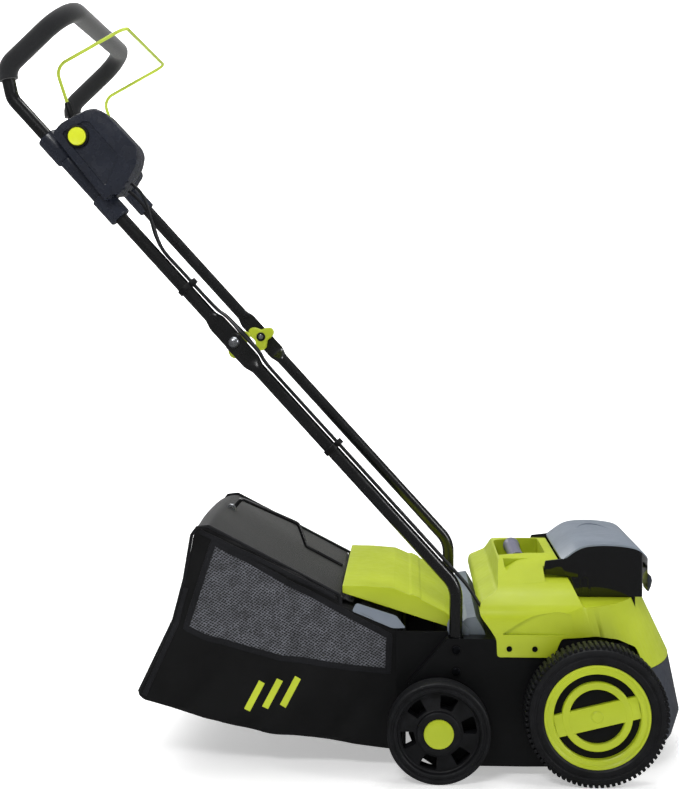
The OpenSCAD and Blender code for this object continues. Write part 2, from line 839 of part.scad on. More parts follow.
// Flattened tube end at the fold bolt: from = 1 goes up the handle, -1 down it
module flat_end(from, y0, tube_mid, bore) {
    a = on_handle(0, -flat_half, 0);
    b = on_handle(0, flat_half, 0);
    c = on_handle(from * (flat_len + 6), flat_half, 0);
    d = on_handle(from * (flat_len + 6), -flat_half, 0);
    e = on_handle(from * (flat_len + swell_len), -tube_r + 1, 0);
    f = on_handle(from * (flat_len + swell_len), tube_r - 1, 0);
    difference() {
        union() {
            cross_rod(fold_x, fold_z, flat_half, y0, y0 + flat_t);
            side(y0, y0 + flat_t) polygon([for (p = [a, b, c, f, e, d]) [p[0], p[2]]]);
            bar(on_handle(from * (flat_len + 4), 0, tube_mid),
                on_handle(from * (flat_len + swell_len), 0, tube_mid), tube_r + 0.4);
        }
        cross_rod(fold_x, fold_z, bore, y0 - 1, y0 + flat_t + 1);
    }
}

module lower_handle(s) {
    y = s * tube_y;
    path = [[foot_x, y, foot_z], [foot_x, y, foot_bend_z], on_handle(-flat_len - swell_len + 4, 0, y)];
    color(black) {
        difference() {
            pipe(rounded_path(path, [45], 6), tube_r, tube_r - tube_wall, 16);
            for (z = bolt_z) cross_rod(foot_x, z, 3.1, y - 15, y + 15);
        }
        flat_end(-1, s > 0 ? y + free_gap / 2 : y - free_gap / 2 - flat_t, y, fold_bolt_d / 2 + run_gap);
    }
}

module lower_handle_right() {
    lower_handle(-1);
}

module lower_handle_left() {
    lower_handle(1);
}

module lower_handle_bolts() {
    color(steel) for (s = [-1, 1]) for (z = bolt_z) {
        y0 = s > 0 ? tube_y - 13 : -deck_half - 0.01;
        y1 = s > 0 ? deck_half + 0.01 : -tube_y + 13;
        cross_rod(foot_x, z, 3, y0, y1);
        h0 = s > 0 ? deck_half : -deck_half - 4;
        cross_rod(foot_x, z, 6, h0, h0 + 4);
        n0 = s > 0 ? tube_y - tube_r - 5 : -tube_y + tube_r + 1;
        difference() {
            cross_rod(foot_x, z, 5.5, n0, n0 + 4);
            cross_rod(foot_x, z, 3, n0 - 1, n0 + 5);
        }
    }
}

function loop_path(start) = [start,
    [riser[0], -tube_y, riser[1]],
    [loop_top[0], -tube_y, loop_top[1]], [loop_top[0], tube_y, loop_top[1]],
    [riser[0], tube_y, riser[1]],
    [start[0], -start[1], start[2]]];

module upper_handle() {
    path = [on_handle(flat_len + swell_len - 4, 0, -tube_y),
        [upper_bend[0], -tube_y, upper_bend[1]],
        [riser[0], -tube_y, riser[1]],
        [loop_top[0], -tube_y, loop_top[1]], [loop_top[0], tube_y, loop_top[1]],
        [riser[0], tube_y, riser[1]],
        [upper_bend[0], tube_y, upper_bend[1]],
        on_handle(flat_len + swell_len - 4, 0, tube_y)];
    bends = [30, 28, 50, 50, 28, 30];
    color(black) {
        pipe(rounded_path(path, bends, 6), tube_r, tube_r - tube_wall, 16);
        flat_end(1, -tube_y + free_gap / 2, -tube_y, fold_bolt_d / 2);
        flat_end(1, tube_y - free_gap / 2 - flat_t, tube_y, fold_bolt_d / 2);
    }
}

module handle_grip() {
    back = unit([riser[0] - upper_bend[0], riser[1] - upper_bend[1]]);
    start = [riser[0] - back[0] * 17, -tube_y, riser[1] - back[1] * 17];
    path = loop_path(start);
    bends = [28, 50, 50, 28];
    color("#222326") pipe(rounded_path(path, bends, 6), grip_d / 2, tube_r, 16);
}

module fold_bolts() {
    head = 5;
    color(steel) for (s = [-1, 1]) {
        out = tube_y + free_gap / 2 + flat_t;
        y0 = s > 0 ? tube_y - 23 : -out;
        y1 = s > 0 ? out : -tube_y + 23;
        cross_rod(fold_x, fold_z, fold_bolt_d / 2, y0, y1);
        h0 = s > 0 ? out + free_gap / 2 : -out - head - free_gap / 2;
        cross_rod(fold_x, fold_z, 8, h0, h0 + head);
        k0 = s > 0 ? out : -out - free_gap / 2;
        cross_rod(fold_x, fold_z, fold_bolt_d / 2, k0, k0 + free_gap / 2);
    }
}

// Three-lobed clamp knob on the inner end of a fold bolt
module knob(s) {
    lobe = 9.5;
    y_in = tube_y - free_gap / 2 - flat_t - free_gap;
    y0 = s > 0 ? y_in - 15 : -y_in;
    color(lime) difference() {
        union() {
            cross_rod(fold_x, fold_z, 15, y0, y0 + 15);
            for (k = [0 : 2]) {
                a = 30 + k * 120;
                cross_rod(fold_x + 14 * cos(a), fold_z + 14 * sin(a), lobe, y0, y0 + 15);
            }
        }
        cross_rod(fold_x, fold_z, fold_bolt_d / 2 + run_gap, y0 - 1, y0 + 16);
    }
}

module knob_right() {
    knob(-1);
}

module knob_left() {
    knob(1);
}

// ---------- switch box and bail ----------

module box_outline() {
    x = upper_bend[0];
    z = upper_bend[1];
    polygon([[x + 63, z - 53], [x + 76, z - 38], [x + 112, z - 20], [x + 124, z - 18], [x + 138, z - 24],
        [x + 180, z - 69], [x + 184, z - 80], [x + 181, z - 97], [x + 158, z - 137], [x + 146, z - 137],
        [x + 138, z - 146], [x + 132, z - 140]]);
}

module box_inner_outline() {
    offset(delta = -box_wall) box_outline();
}

function box_s(from_bend) = upper_len - from_bend;

module box_half(y0, y1, wall_y0, wall_y1) {
    difference() {
        union() {
            side(y0, y1) box_outline();
            for (s = [[72, 116], [186, 228]]) intersection() {
                bar(on_handle(box_s(s[0]), 0, -tube_y), on_handle(box_s(s[1]), 0, -tube_y), 16);
                translate([-600, y0, 600]) cube([600, y1 - y0, 600]);
            }
            intersection() {
                bar(on_handle(box_s(100), 0, -tube_y), on_handle(box_s(200), 0, -tube_y), 13);
                translate([-600, y0, 600]) cube([600, y1 - y0, 600]);
            }
        }
        difference() {
            side(wall_y0, wall_y1) box_inner_outline();
            bar(on_handle(box_s(60), 0, -tube_y), on_handle(box_s(240), 0, -tube_y), 13);
        }
        bar(on_handle(box_s(40), 0, -tube_y), on_handle(box_s(260), 0, -tube_y), tube_r);
    }
}

module switch_box_outer() {
    color(slate) difference() {
        box_half(-tube_y - box_out, -tube_y, -tube_y - box_out + box_wall, -tube_y + 1);
        cross_rod(button_at[0], button_at[1], button_d / 2 + 0.4, -tube_y - box_out - 1,
            -tube_y - box_out + 5);
        for (p = [[130, -38], [150, -118]])
            cross_rod(upper_bend[0] + p[0], upper_bend[1] + p[1], 1.5, -tube_y - 8, -tube_y + 1);
    }
}

module switch_box_inner() {
    color(slate) {
        difference() {
            box_half(-tube_y, -tube_y + box_in, -tube_y - 1, -tube_y + box_in - box_wall);
            for (p = [[130, -38], [150, -118]]) {
                cross_rod(upper_bend[0] + p[0], upper_bend[1] + p[1], 1.5, -tube_y - 1,
                    -tube_y + box_in + 1);
                cross_rod(upper_bend[0] + p[0], upper_bend[1] + p[1], 3.5, -tube_y + box_in - 1.5,
                    -tube_y + box_in + 1);
            }
        }
        cross_rod(bail_pivot[0], bail_pivot[1], bail_pin_r, -tube_y + box_in, -bail_y + lever_t / 2 + 1);
    }
}

module switch_box_screws() {
    color(steel) for (p = [[130, -38], [150, -118]]) {
        cross_rod(upper_bend[0] + p[0], upper_bend[1] + p[1], 1.5, -tube_y - 7, -tube_y + box_in - 1.5);
        cross_rod(upper_bend[0] + p[0], upper_bend[1] + p[1], 3.4, -tube_y + box_in - 1.5,
            -tube_y + box_in - 0.3);
    }
}

module micro_switch() {
    deep = -tube_y - box_out + box_wall + 15;
    color("#101012") translate([button_at[0] - 14, deep, button_at[1] - 8]) cube([28, 10, 16]);
    color(steel) translate([button_at[0] - 3, deep - 0.8, button_at[1] - 2]) cube([6, 0.8, 4]);
}

module lock_button() {
    face = -tube_y - box_out - button_stand;
    color(lime) union() {
        cross_rod(button_at[0], button_at[1], button_d / 2, face, face + 8);
        cross_rod(button_at[0], button_at[1], 4, face + 8, face + 11);
    }
}

module bail_bracket() {
    reach = tube_y - box_in;
    color(slate) {
        difference() {
            union() {
                bar(on_handle(box_s(118), 0, tube_y), on_handle(box_s(178), 0, tube_y), 14);
                side(reach, tube_y) polygon([
                    [bail_pivot[0] - 9, bail_pivot[1] + 6], [bail_pivot[0] + 8, bail_pivot[1] + 8],
                    [bail_pivot[0] + 32, bail_pivot[1] - 32], [bail_pivot[0] + 14, bail_pivot[1] - 60],
                    [bail_pivot[0] - 26, bail_pivot[1] - 22]]);
            }
            bar(on_handle(box_s(60), 0, tube_y), on_handle(box_s(240), 0, tube_y), tube_r);
        }
        cross_rod(bail_pivot[0], bail_pivot[1], bail_pin_r, bail_y - lever_t / 2 - 1, reach);
    }
}

// Point on a bail lever, a distance up from its pin
function on_lever(reach, s) = [bail_pivot[0] + lever_dir[0] * reach, s * bail_y,
    bail_pivot[1] + lever_dir[1] * reach];

module bail_levers() {
    color(black) for (s = [-1, 1]) {
        y0 = s * bail_y - lever_t / 2;
        difference() {
            union() {
                cross_rod(bail_pivot[0], bail_pivot[1], 9, y0, y0 + lever_t);
                bar(on_lever(0, s), on_lever(42, s), lever_t / 2);
            }
            cross_rod(bail_pivot[0], bail_pivot[1], bail_pin_r + run_gap, y0 - 1, y0 + lever_t + 1);
            bar(on_lever(14, s), on_lever(44, s), bail_wire_d / 2);
        }
    }
}

module bail_wire() {
    top = [bail_pivot[0] + 73, bail_pivot[1] + 146];
    path = [on_lever(16, -1), on_lever(95, -1), [top[0], -bail_y, top[1]],
        [top[0], bail_y, top[1]], on_lever(95, 1), on_lever(16, 1)];
    color(lime) pipe(rounded_path(path, [20, 16, 16, 20], 5), bail_wire_d / 2, 0, 12);
}

// ---------- leads and clips ----------

module cable_upper() {
    leads(lead_a_top, lead_b_top);
}

module cable_joint() {
    leads(lead_a_mid, lead_b_mid);
}

module cable_lower() {
    leads(lead_a_low, lead_b_low);
}

module clip(s) {
    color(black) difference() {
        union() {
            bar(on_handle(s - 4, 0, -tube_y), on_handle(s + 4, 0, -tube_y), tube_r + 2);
            bar(on_handle(s - 4, 12, -tube_y), on_handle(s + 4, 12, -tube_y), 8);
        }
        bar(on_handle(s - 6, 0, -tube_y), on_handle(s + 6, 0, -tube_y), tube_r);
        for (out = [-3, 3])
            bar(on_handle(s - 6, 13, -tube_y - out), on_handle(s + 6, 13, -tube_y - out),
                lead_d / 2 + lead_gap);
    }
}

module cable_clip_upper() {
    clip(clip_s_top);
}

module cable_clip_lower() {
    clip(clip_s_low);
}

// ---------- flap and bag ----------

module rear_flap() {
    px = flap_pivot[0];
    pz = flap_pivot[1];
    color(lime) difference() {
        union() {
            side(-flap_half, flap_half)
                polygon([[-12, 255], [-12, 266], [64, 262], [134, 230], [px, pz + 7], [px - 7, pz],
                    [px - 5, pz - 6]]);
            cross_rod(px, pz, 7, -flap_half, flap_half);
        }
        side(-flap_half + flap_wall, flap_half - flap_wall)
            polygon([[-9, 230], [-9, 263], [63, 259], [130, 228], [px - 10, pz + 2], [px - 10, pz - 20]]);
        cross_rod(px, pz, flap_pin_r + run_gap, -flap_half - 1, flap_half + 1);
    }
}

module flap_pin() {
    color(steel)
        cross_rod(flap_pivot[0], flap_pivot[1], flap_pin_r, -plate_half - ear_t, plate_half + ear_t);
}

module bag_outline() {
    polygon([[mouth_x, 26], [mouth_x, 208], [-16, 240], [-18, 252], [-206, 350], [-222, 348],
        [-229, 338], [-240, 274], [-256, 214], [-310, 106], [-301, 96], [-231, 75], [-127, 50],
        [-28, 40]]);
}

module bag_fabric() {
    color("#1f2023") difference() {
        side(-bag_half, bag_half) bag_outline();
        side(-bag_half + bag_wall, bag_half - bag_wall) offset(delta = -bag_wall) bag_outline();
        translate([mouth_x - 10, -bag_half + bag_wall + 8, 42])
            cube([20, 2 * (bag_half - bag_wall) - 16, 154]);
    }
}

module bag_frame() {
    color(black) {
        difference() {
            translate([mouth_x, -bag_half, 26]) cube([mouth_t, 2 * bag_half, 180]);
            translate([mouth_x - 1, -bag_half + 12, 42]) cube([mouth_t + 2, 2 * bag_half - 24, 154]);
        }
        pipe(rounded_path([[-190, 0, 353], [-178, 0, 367], [-89, 0, 328], [-76, 0, 292], [-20, 0, 262]],
            [6, 12, 12], 4), 3, 0, 12);
        difference() {
            cross_rod(-194, 352, 7, -5, 5);
            cross_rod(-194, 352, 3, -6, 6);
        }
    }
    color(grey) for (y = [-bag_half - 3, bag_half])
        side(y, y + 3)
            polygon([[8, 242], [mouth_x - 8, 224], [mouth_x + mouth_t, 206], [mouth_x - 14, 206],
                [2, 230]]);
}

deck_shell();
motor_hood();
deck_plate();
front_guard();
carry_handle();
battery_bay();
battery_right();
battery_left();
drive_motor();
controller_board();
drive_belt();
belt_cover();
rotor_bearings();
rear_axles();
lower_handle_right();
lower_handle_left();
lower_handle_bolts();
hood_screws();
flap_pin();
cable_lower();
cable_clip_lower();
rotor_shaft();
tine_holders();
spring_tines();
rotor_pulley();
motor_shaft();
motor_pulley();
front_axle();
depth_lever();
front_tyre_right();
front_hub_right();
front_tyre_left();
front_hub_left();
rear_wheel_right();
rear_cap_right();
rear_wheel_left();
rear_cap_left();
upper_handle();
handle_grip();
switch_box_outer();
switch_box_inner();
switch_box_screws();
bail_bracket();
micro_switch();
cable_upper();
cable_joint();
cable_clip_upper();
fold_bolts();
bail_wire();
bail_levers();
lock_button();
knob_right();
knob_left();
rear_flap();
bag_fabric();
bag_frame();
battery_lid();
lid_panel();
lid_latch();
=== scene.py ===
"""Looks of a walk-behind battery lawn dethatcher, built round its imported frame.

Metres. +X is the way it is pushed, +Y the operator's left, +Z up, as in the frame.
Shapes are drawn in millimetres in bmesh and scaled once, when they become a piece.
"""
import json
import math

import bmesh
import bpy
from mathutils import Matrix, Vector
from mathutils.bvhtree import BVHTree


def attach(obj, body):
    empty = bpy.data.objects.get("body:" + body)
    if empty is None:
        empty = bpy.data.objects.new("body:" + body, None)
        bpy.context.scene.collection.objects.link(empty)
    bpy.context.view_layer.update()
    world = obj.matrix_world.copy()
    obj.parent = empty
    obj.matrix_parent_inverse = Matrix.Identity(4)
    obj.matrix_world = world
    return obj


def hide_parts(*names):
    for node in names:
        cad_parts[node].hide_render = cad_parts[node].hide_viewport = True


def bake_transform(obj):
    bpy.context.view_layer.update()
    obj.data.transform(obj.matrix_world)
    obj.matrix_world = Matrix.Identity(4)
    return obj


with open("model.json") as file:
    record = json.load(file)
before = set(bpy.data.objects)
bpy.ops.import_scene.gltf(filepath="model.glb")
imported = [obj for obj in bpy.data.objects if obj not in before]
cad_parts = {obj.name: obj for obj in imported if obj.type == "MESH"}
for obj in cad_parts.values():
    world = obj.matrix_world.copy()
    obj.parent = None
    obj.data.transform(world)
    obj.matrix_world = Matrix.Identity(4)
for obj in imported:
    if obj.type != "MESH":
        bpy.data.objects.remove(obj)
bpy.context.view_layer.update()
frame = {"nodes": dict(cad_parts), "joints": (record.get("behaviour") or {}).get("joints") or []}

MM = 0.001
SIDES = {"right": -1, "left": 1}


# ---------------------------------------------------------------- places taken from the frame

def joint_point(name):
    """Pivot of a joint as (x, z) in millimetres."""
    joint = next(j for j in frame["joints"] if j["name"] == name)
    return joint["pos_m"][0] / MM, joint["pos_m"][2] / MM


def placed(name, data):
    """New object in the scene that holds a mesh, a curve, a lamp or a camera."""
    obj = bpy.data.objects.new(name, data)
    bpy.context.scene.collection.objects.link(obj)
    return obj


def as_mesh(bm, name):
    """Makes a bmesh a mesh and uses it up."""
    mesh = bpy.data.meshes.new(name)
    bm.to_mesh(mesh)
    bm.free()
    return mesh


FOLD = Vector(joint_point("handle_fold"))
BAIL = joint_point("bail_squeeze")
FLAP = joint_point("flap_lift")
LID = joint_point("lid_open")
LATCH = joint_point("latch_pull")
HANDLE_ANGLE = math.radians(47.67)
ALONG = Vector((-math.cos(HANDLE_ANGLE), math.sin(HANDLE_ANGLE)))
ABOVE = Vector((math.sin(HANDLE_ANGLE), math.cos(HANDLE_ANGLE)))
TUBE_Y = 200
TUBE_R = 9.5
UPPER_LEN = 466
UPPER_BEND = FOLD + ALONG * UPPER_LEN


def on_handle(s, n, y):
    """Point s along the tube from the fold bolt and n above it, y across."""
    p = FOLD + ALONG * s + ABOVE * n
    return Vector((p.x, y, p.y))


# ---------------------------------------------------------------- camera, floor and light

CAMERA_PLACE = (0.080, -2.265, 0.667)
CAMERA_YAW = math.radians(-2.642)
CAMERA_DIP = math.radians(3.43)


def add_camera():
    """Camera level with the middle of the handle, well out to the machine's right."""
    data = bpy.data.cameras.new("camera")
    data.sensor_width = 36
    data.lens = 66.6
    camera = placed("camera", data)
    camera.location = CAMERA_PLACE
    flat = math.cos(CAMERA_DIP)
    view = Vector((math.sin(CAMERA_YAW) * flat, math.cos(CAMERA_YAW) * flat, -math.sin(CAMERA_DIP)))
    camera.rotation_euler = view.to_track_quat("-Z", "Y").to_euler()
    bpy.context.scene.camera = camera


def add_area_light(name, place, aim, size, power):
    """Soft box that faces a point, its size as (width, height) and its power in watts."""
    data = bpy.data.lights.new(name, "AREA")
    data.shape = "RECTANGLE"
    data.size, data.size_y = size
    data.energy = power
    lamp = placed(name, data)
    lamp.location = place
    lamp.rotation_euler = (Vector(aim) - Vector(place)).to_track_quat("-Z", "Y").to_euler()


def add_studio():
    """White floor and backdrop, a dim room for the black parts to reflect, and soft boxes for highlights."""
    bm = bmesh.new()
    bmesh.ops.create_grid(bm, x_segments=1, y_segments=1, size=30)
    floor = stage_piece("floor", bm, pale_floor())
    bm = bmesh.new()
    bmesh.ops.create_grid(bm, x_segments=1, y_segments=1, size=14)
    bmesh.ops.rotate(bm, cent=(0, 0, 0), matrix=Matrix.Rotation(math.pi / 2, 3, "X"), verts=bm.verts)
    bmesh.ops.translate(bm, vec=(0, 2.6, 12), verts=bm.verts)
    wall = stage_piece("backdrop", bm, lit_backdrop())
    for surface in (floor, wall):
        surface.visible_glossy = False
    world = bpy.data.worlds.new("studio")
    world.use_nodes = True
    room = world.node_tree.nodes["Background"]
    room.inputs["Color"].default_value = (1, 1, 1, 1)
    room.inputs["Strength"].default_value = 0.16
    bpy.context.scene.world = world
    add_area_light("key", (-0.9, -2.6, 2.9), (0.0, 0, 0.35), (1.1, 0.8), 46)
    add_area_light("top", (0.2, 0.3, 3.0), (0.1, 0, 0.2), (1.6, 1.2), 30)
    add_area_light("front", (2.6, -1.2, 1.4), (0.2, 0, 0.3), (0.5, 1.4), 20)
    add_area_light("rim", (-1.4, 2.2, 1.9), (-0.2, 0, 0.5), (0.9, 0.9), 24)
    bpy.context.scene.view_settings.view_transform = "Standard"


def stage_piece(name, bm, material):
    """A flat piece of the studio, in metres."""
    mesh = as_mesh(bm, name)
    mesh.materials.append(material)
    return placed(name, mesh)


# ---------------------------------------------------------------- materials

def paint(hex_colour):
    """sRGB hex as linear RGBA."""
    parts = [int(hex_colour[i:i + 2], 16) / 255 for i in (1, 3, 5)]
    return [c / 12.92 if c <= 0.04045 else ((c + 0.055) / 1.055) ** 2.4 for c in parts] + [1]


def set_inputs(node, values):
    """Puts values on a node's inputs."""
    for key, value in values.items():
        node.inputs[key].default_value = value


def feed(tree, node, links):
    """Feeds a node's inputs from other nodes' sockets."""
    for key, socket in links.items():
        tree.links.new(socket, node.inputs[key])


def add(tree, kind, values=None, links=None, **settings):
    """Adds a node with its settings, the values on its inputs and the sockets that feed them."""
    node = tree.nodes.new(kind)
    for key, value in settings.items():
        setattr(node, key, value)
    set_inputs(node, values or {})
    feed(tree, node, links or {})
    return node


def new_material(name):
    """An empty material, with its node tree, its shader and its object coordinates."""
    material = bpy.data.materials.new(name)
    material.use_nodes = True
    tree = material.node_tree
    return material, tree, tree.nodes["Principled BSDF"], add(tree, "ShaderNodeTexCoord").outputs["Object"]


def speckle(tree, vector, size, low, high, detail=3.0):
    """Noise of a given size in metres, spread from low to high."""
    noise = add(tree, "ShaderNodeTexNoise", {"Scale": 1 / size, "Detail": detail}, {"Vector": vector})
    spread = add(tree, "ShaderNodeMapRange",
                 {"From Min": 0.3, "From Max": 0.7, "To Min": low, "To Max": high},
                 {"Value": noise.outputs["Fac"]})
    return spread.outputs["Result"]


def shade_between(tree, fac, dark, light):
    """Colour between two paints."""
    mix = add(tree, "ShaderNodeMix", {"A": paint(dark), "B": paint(light)}, {"Factor": fac}, data_type="RGBA")
    return mix.outputs["Result"]


def mottled(tree, vector, size, dark, light, detail=3.0):
    """Colour that drifts between two paints in patches of a given size."""
    return shade_between(tree, speckle(tree, vector, size, 0, 1, detail), dark, light)


def pale_floor():
    """Matt white floor, lit a little from within."""
    material, _, shader, _ = new_material("pale_floor")
    set_inputs(shader, {"Base Color": paint("#f4f4f4"), "Roughness": 0.7, "Emission Color": paint("#ffffff"),
                        "Emission Strength": 0.42})
    return material


def lit_backdrop():
    """White wall, lit from within."""
    material, _, shader, _ = new_material("lit_backdrop")
    set_inputs(shader, {"Base Color": paint("#ffffff"), "Emission Color": paint("#ffffff"),
                        "Emission Strength": 0.8})
    return material


def moulded_abs(name, dark, light, rough, grain, depth, shine=0.5):
    """Injection-moulded ABS: an even colour with a faint flow, and the spark-eroded grain of its mould."""
    material, tree, shader, at = new_material(name)
    texture = add(tree, "ShaderNodeTexNoise", {"Scale": 1 / grain, "Detail": 2.0}, {"Vector": at})
    bump = add(tree, "ShaderNodeBump", {"Strength": depth, "Distance": 0.0004},
               {"Height": texture.outputs["Fac"]})
    feed(tree, shader, {"Base Color": mottled(tree, at, 0.09, dark, light),
                        "Roughness": speckle(tree, at, 0.012, rough - 0.05, rough + 0.05),
                        "Normal": bump.outputs["Normal"]})
    set_inputs(shader, {"IOR": 1.53, "Specular IOR Level": shine})
    return material


def powder_coat(name, dark, light, rough, coat):
    """Gloss powder coat on bent steel tube or wire: slight orange peel about 3 mm across under the shine."""
    material, tree, shader, at = new_material(name)
    peel = add(tree, "ShaderNodeTexNoise", {"Scale": 1 / 0.003, "Detail": 1.0}, {"Vector": at})
    bump = add(tree, "ShaderNodeBump", {"Strength": 0.08, "Distance": 0.0006},
               {"Height": peel.outputs["Fac"]})
    feed(tree, shader, {"Base Color": mottled(tree, at, 0.05, dark, light),
                        "Roughness": speckle(tree, at, 0.02, rough - 0.04, rough + 0.05),
                        "Normal": bump.outputs["Normal"]})
    set_inputs(shader, {"Coat Weight": coat, "Coat Roughness": 0.08})
    return material


def polished_acrylic(name):
    """Moulded black acrylic, polished: mirror-like with a few soft handling marks."""
    material, tree, shader, at = new_material(name)
    feed(tree, shader, {"Roughness": speckle(tree, at, 0.03, 0.05, 0.13)})
    set_inputs(shader, {"Base Color": paint("#08090b"), "IOR": 1.49, "Coat Weight": 0.5,
                        "Coat Roughness": 0.04})
    return material


def zinc_steel(name, dark, light, rough):
    """Zinc-plated steel: blotchy crystalline plating about 4 mm across."""
    material, tree, shader, at = new_material(name)
    feed(tree, shader, {"Base Color": mottled(tree, at, 0.004, dark, light),
                        "Roughness": speckle(tree, at, 0.002, rough - 0.08, rough + 0.08)})
    set_inputs(shader, {"Metallic": 1.0})
    return material


def eva_foam(name):
    """Closed-cell EVA foam: matt charcoal skin, pores of 0.5 mm drawn at 1.1 mm so that they show."""
    material, tree, shader, at = new_material(name)
    pores = add(tree, "ShaderNodeTexVoronoi", {"Scale": 1 / 0.0011}, {"Vector": at})
    fade = add(tree, "ShaderNodeMapRange", {"From Min": 0.0, "From Max": 0.6, "To Min": 1.0, "To Max": 0.0},
               {"Value": pores.outputs["Distance"]})
    bump = add(tree, "ShaderNodeBump", {"Strength": 0.35, "Distance": 0.0004},
               {"Height": pores.outputs["Distance"]})
    feed(tree, shader, {"Base Color": shade_between(tree, fade.outputs["Result"], "#131417", "#1f2023"),
                        "Normal": bump.outputs["Normal"]})
    set_inputs(shader, {"Roughness": 0.86, "Sheen Weight": 0.25, "Sheen Roughness": 0.5})
    return material


def tyre_rubber(name):
    """Hard moulded tyre rubber: near black, semi-matt, with a dry bloom about 15 mm across."""
    material, tree, shader, at = new_material(name)
    skin = add(tree, "ShaderNodeTexNoise", {"Scale": 1 / 0.0012, "Detail": 2.0}, {"Vector": at})
    bump = add(tree, "ShaderNodeBump", {"Strength": 0.18, "Distance": 0.0004},
               {"Height": skin.outputs["Fac"]})
    feed(tree, shader, {"Base Color": mottled(tree, at, 0.015, "#0c0d0f", "#15161a", 5.0),
                        "Roughness": speckle(tree, at, 0.008, 0.48, 0.66),
                        "Normal": bump.outputs["Normal"]})
    set_inputs(shader, {"Specular IOR Level": 0.35})
    return material


def woven_polyester(name, dark, light, pitch, depth):
    """Plain-woven polyester: two sets of threads, 0.5 mm apart in the cloth, drawn coarser to show."""
    material, tree, shader, _ = new_material(name)
    cloth = add(tree, "ShaderNodeUVMap", uv_map="cloth").outputs["UV"]
    warp, weft = (add(tree, "ShaderNodeTexWave",
                      {"Scale": 1 / (pitch * 3.14), "Distortion": 0.6, "Detail Scale": 2.0},
                      {"Vector": cloth}, bands_direction=run).outputs["Fac"] for run in "XY")
    both = add(tree, "ShaderNodeMath", {}, {0: warp, 1: weft}, operation="MULTIPLY")
    fade = speckle(tree, cloth, 0.06, 0.0, 0.6)
    total = add(tree, "ShaderNodeMath", {}, {0: both.outputs["Value"], 1: fade}, operation="ADD")
    bump = add(tree, "ShaderNodeBump", {"Strength": depth, "Distance": 0.0005},
               {"Height": both.outputs["Value"]})
    feed(tree, shader, {"Base Color": shade_between(tree, total.outputs["Value"], dark, light),
                        "Normal": bump.outputs["Normal"]})
    set_inputs(shader, {"Roughness": 0.7, "Specular IOR Level": 0.3, "Sheen Weight": 0.12,
                        "Sheen Roughness": 0.4})
    return material


def knitted_mesh(name):
    """Warp-knitted mesh: grey yarn round open holes in staggered rows, 3 mm apart, dark behind."""
    material, tree, shader, _ = new_material(name)
    cloth = add(tree, "ShaderNodeUVMap", uv_map="cloth").outputs["UV"]
    turned_rows = add(tree, "ShaderNodeMapping",
                      {"Rotation": (0, 0, math.radians(38)), "Scale": (1, 1.35, 1)}, {"Vector": cloth})
    holes = add(tree, "ShaderNodeTexVoronoi", {"Scale": 1 / 0.0042, "Randomness": 0.22},
                {"Vector": turned_rows.outputs["Vector"]}, voronoi_dimensions="2D")
    yarn = add(tree, "ShaderNodeMapRange", {"From Min": 0.24, "From Max": 0.5},
               {"Value": holes.outputs["Distance"]})
    patch = speckle(tree, cloth, 0.018, 0.45, 1.0, 4.0)
    amount = add(tree, "ShaderNodeMath", {}, {0: yarn.outputs["Result"], 1: patch}, operation="MULTIPLY")
    bump = add(tree, "ShaderNodeBump", {"Strength": 0.8, "Distance": 0.0009},
               {"Height": yarn.outputs["Result"]})
    feed(tree, shader, {"Base Color": shade_between(tree, amount.outputs["Value"], "#08090a", "#6a6c74"),
                        "Normal": bump.outputs["Normal"]})
    set_inputs(shader, {"Roughness": 0.7, "Sheen Weight": 0.2})
    return material


LIME = moulded_abs("lime_moulded_abs", "#a9b81f", "#b6c528", 0.40, 0.0009, 0.22, 0.35)
LIME_BRIGHT = moulded_abs("lime_button_abs", "#d3dd1c", "#dde82a", 0.34, 0.0008, 0.1)
BLACK = moulded_abs("black_moulded_abs", "#08090a", "#0f1012", 0.42, 0.001, 0.3, 0.3)
SLATE = moulded_abs("slate_moulded_abs", "#1c1f28", "#262a35", 0.27, 0.0009, 0.14)
GUARD = moulded_abs("guard_moulded_abs", "#30343d", "#3b404a", 0.45, 0.001, 0.35, 0.4)
GREY = moulded_abs("grey_moulded_abs", "#747d89", "#828b97", 0.38, 0.001, 0.16)
GRIP_BAR = moulded_abs("grip_bar_abs", "#66667a", "#757587", 0.4, 0.001, 0.2)
BATTERY = moulded_abs("battery_case_abs", "#1c1f25", "#272a31", 0.5, 0.0012, 0.35)
GLOSS = polished_acrylic("black_lid_acrylic")
TUBE = powder_coat("black_powder_coat", "#08090a", "#0e0f11", 0.26, 0.5)
WIRE_LIME = powder_coat("lime_powder_coat", "#b2c63a", "#c4d84c", 0.3, 0.4)
FOAM = eva_foam("charcoal_eva_foam")
RUBBER = tyre_rubber("black_tyre_rubber")
ZINC = zinc_steel("zinc_plated_steel", "#9fa3a8", "#c3c6ca", 0.3)
DARK_STEEL = zinc_steel("black_oxide_steel", "#1b1c1f", "#2a2c30", 0.4)
SPRING = zinc_steel("drawn_spring_steel", "#6c6e72", "#8b8d91", 0.34)
MOTOR = powder_coat("motor_can_paint", "#26282c", "#303338", 0.45, 0.1)
CABLE = moulded_abs("cable_pvc", "#0c0d0f", "#15161a", 0.36, 0.0015, 0.1)
CLOTH = woven_polyester("black_woven_polyester", "#050506", "#0f1012", 0.0016, 0.35)
TAPE = woven_polyester("black_binding_tape", "#0c0d10", "#1a1b20", 0.0022, 0.5)
PRINT = woven_polyester("lime_screen_print", "#b5c330", "#c9d83a", 0.0016, 0.25)
KNIT = knitted_mesh("grey_knitted_mesh")


# ---------------------------------------------------------------- making pieces

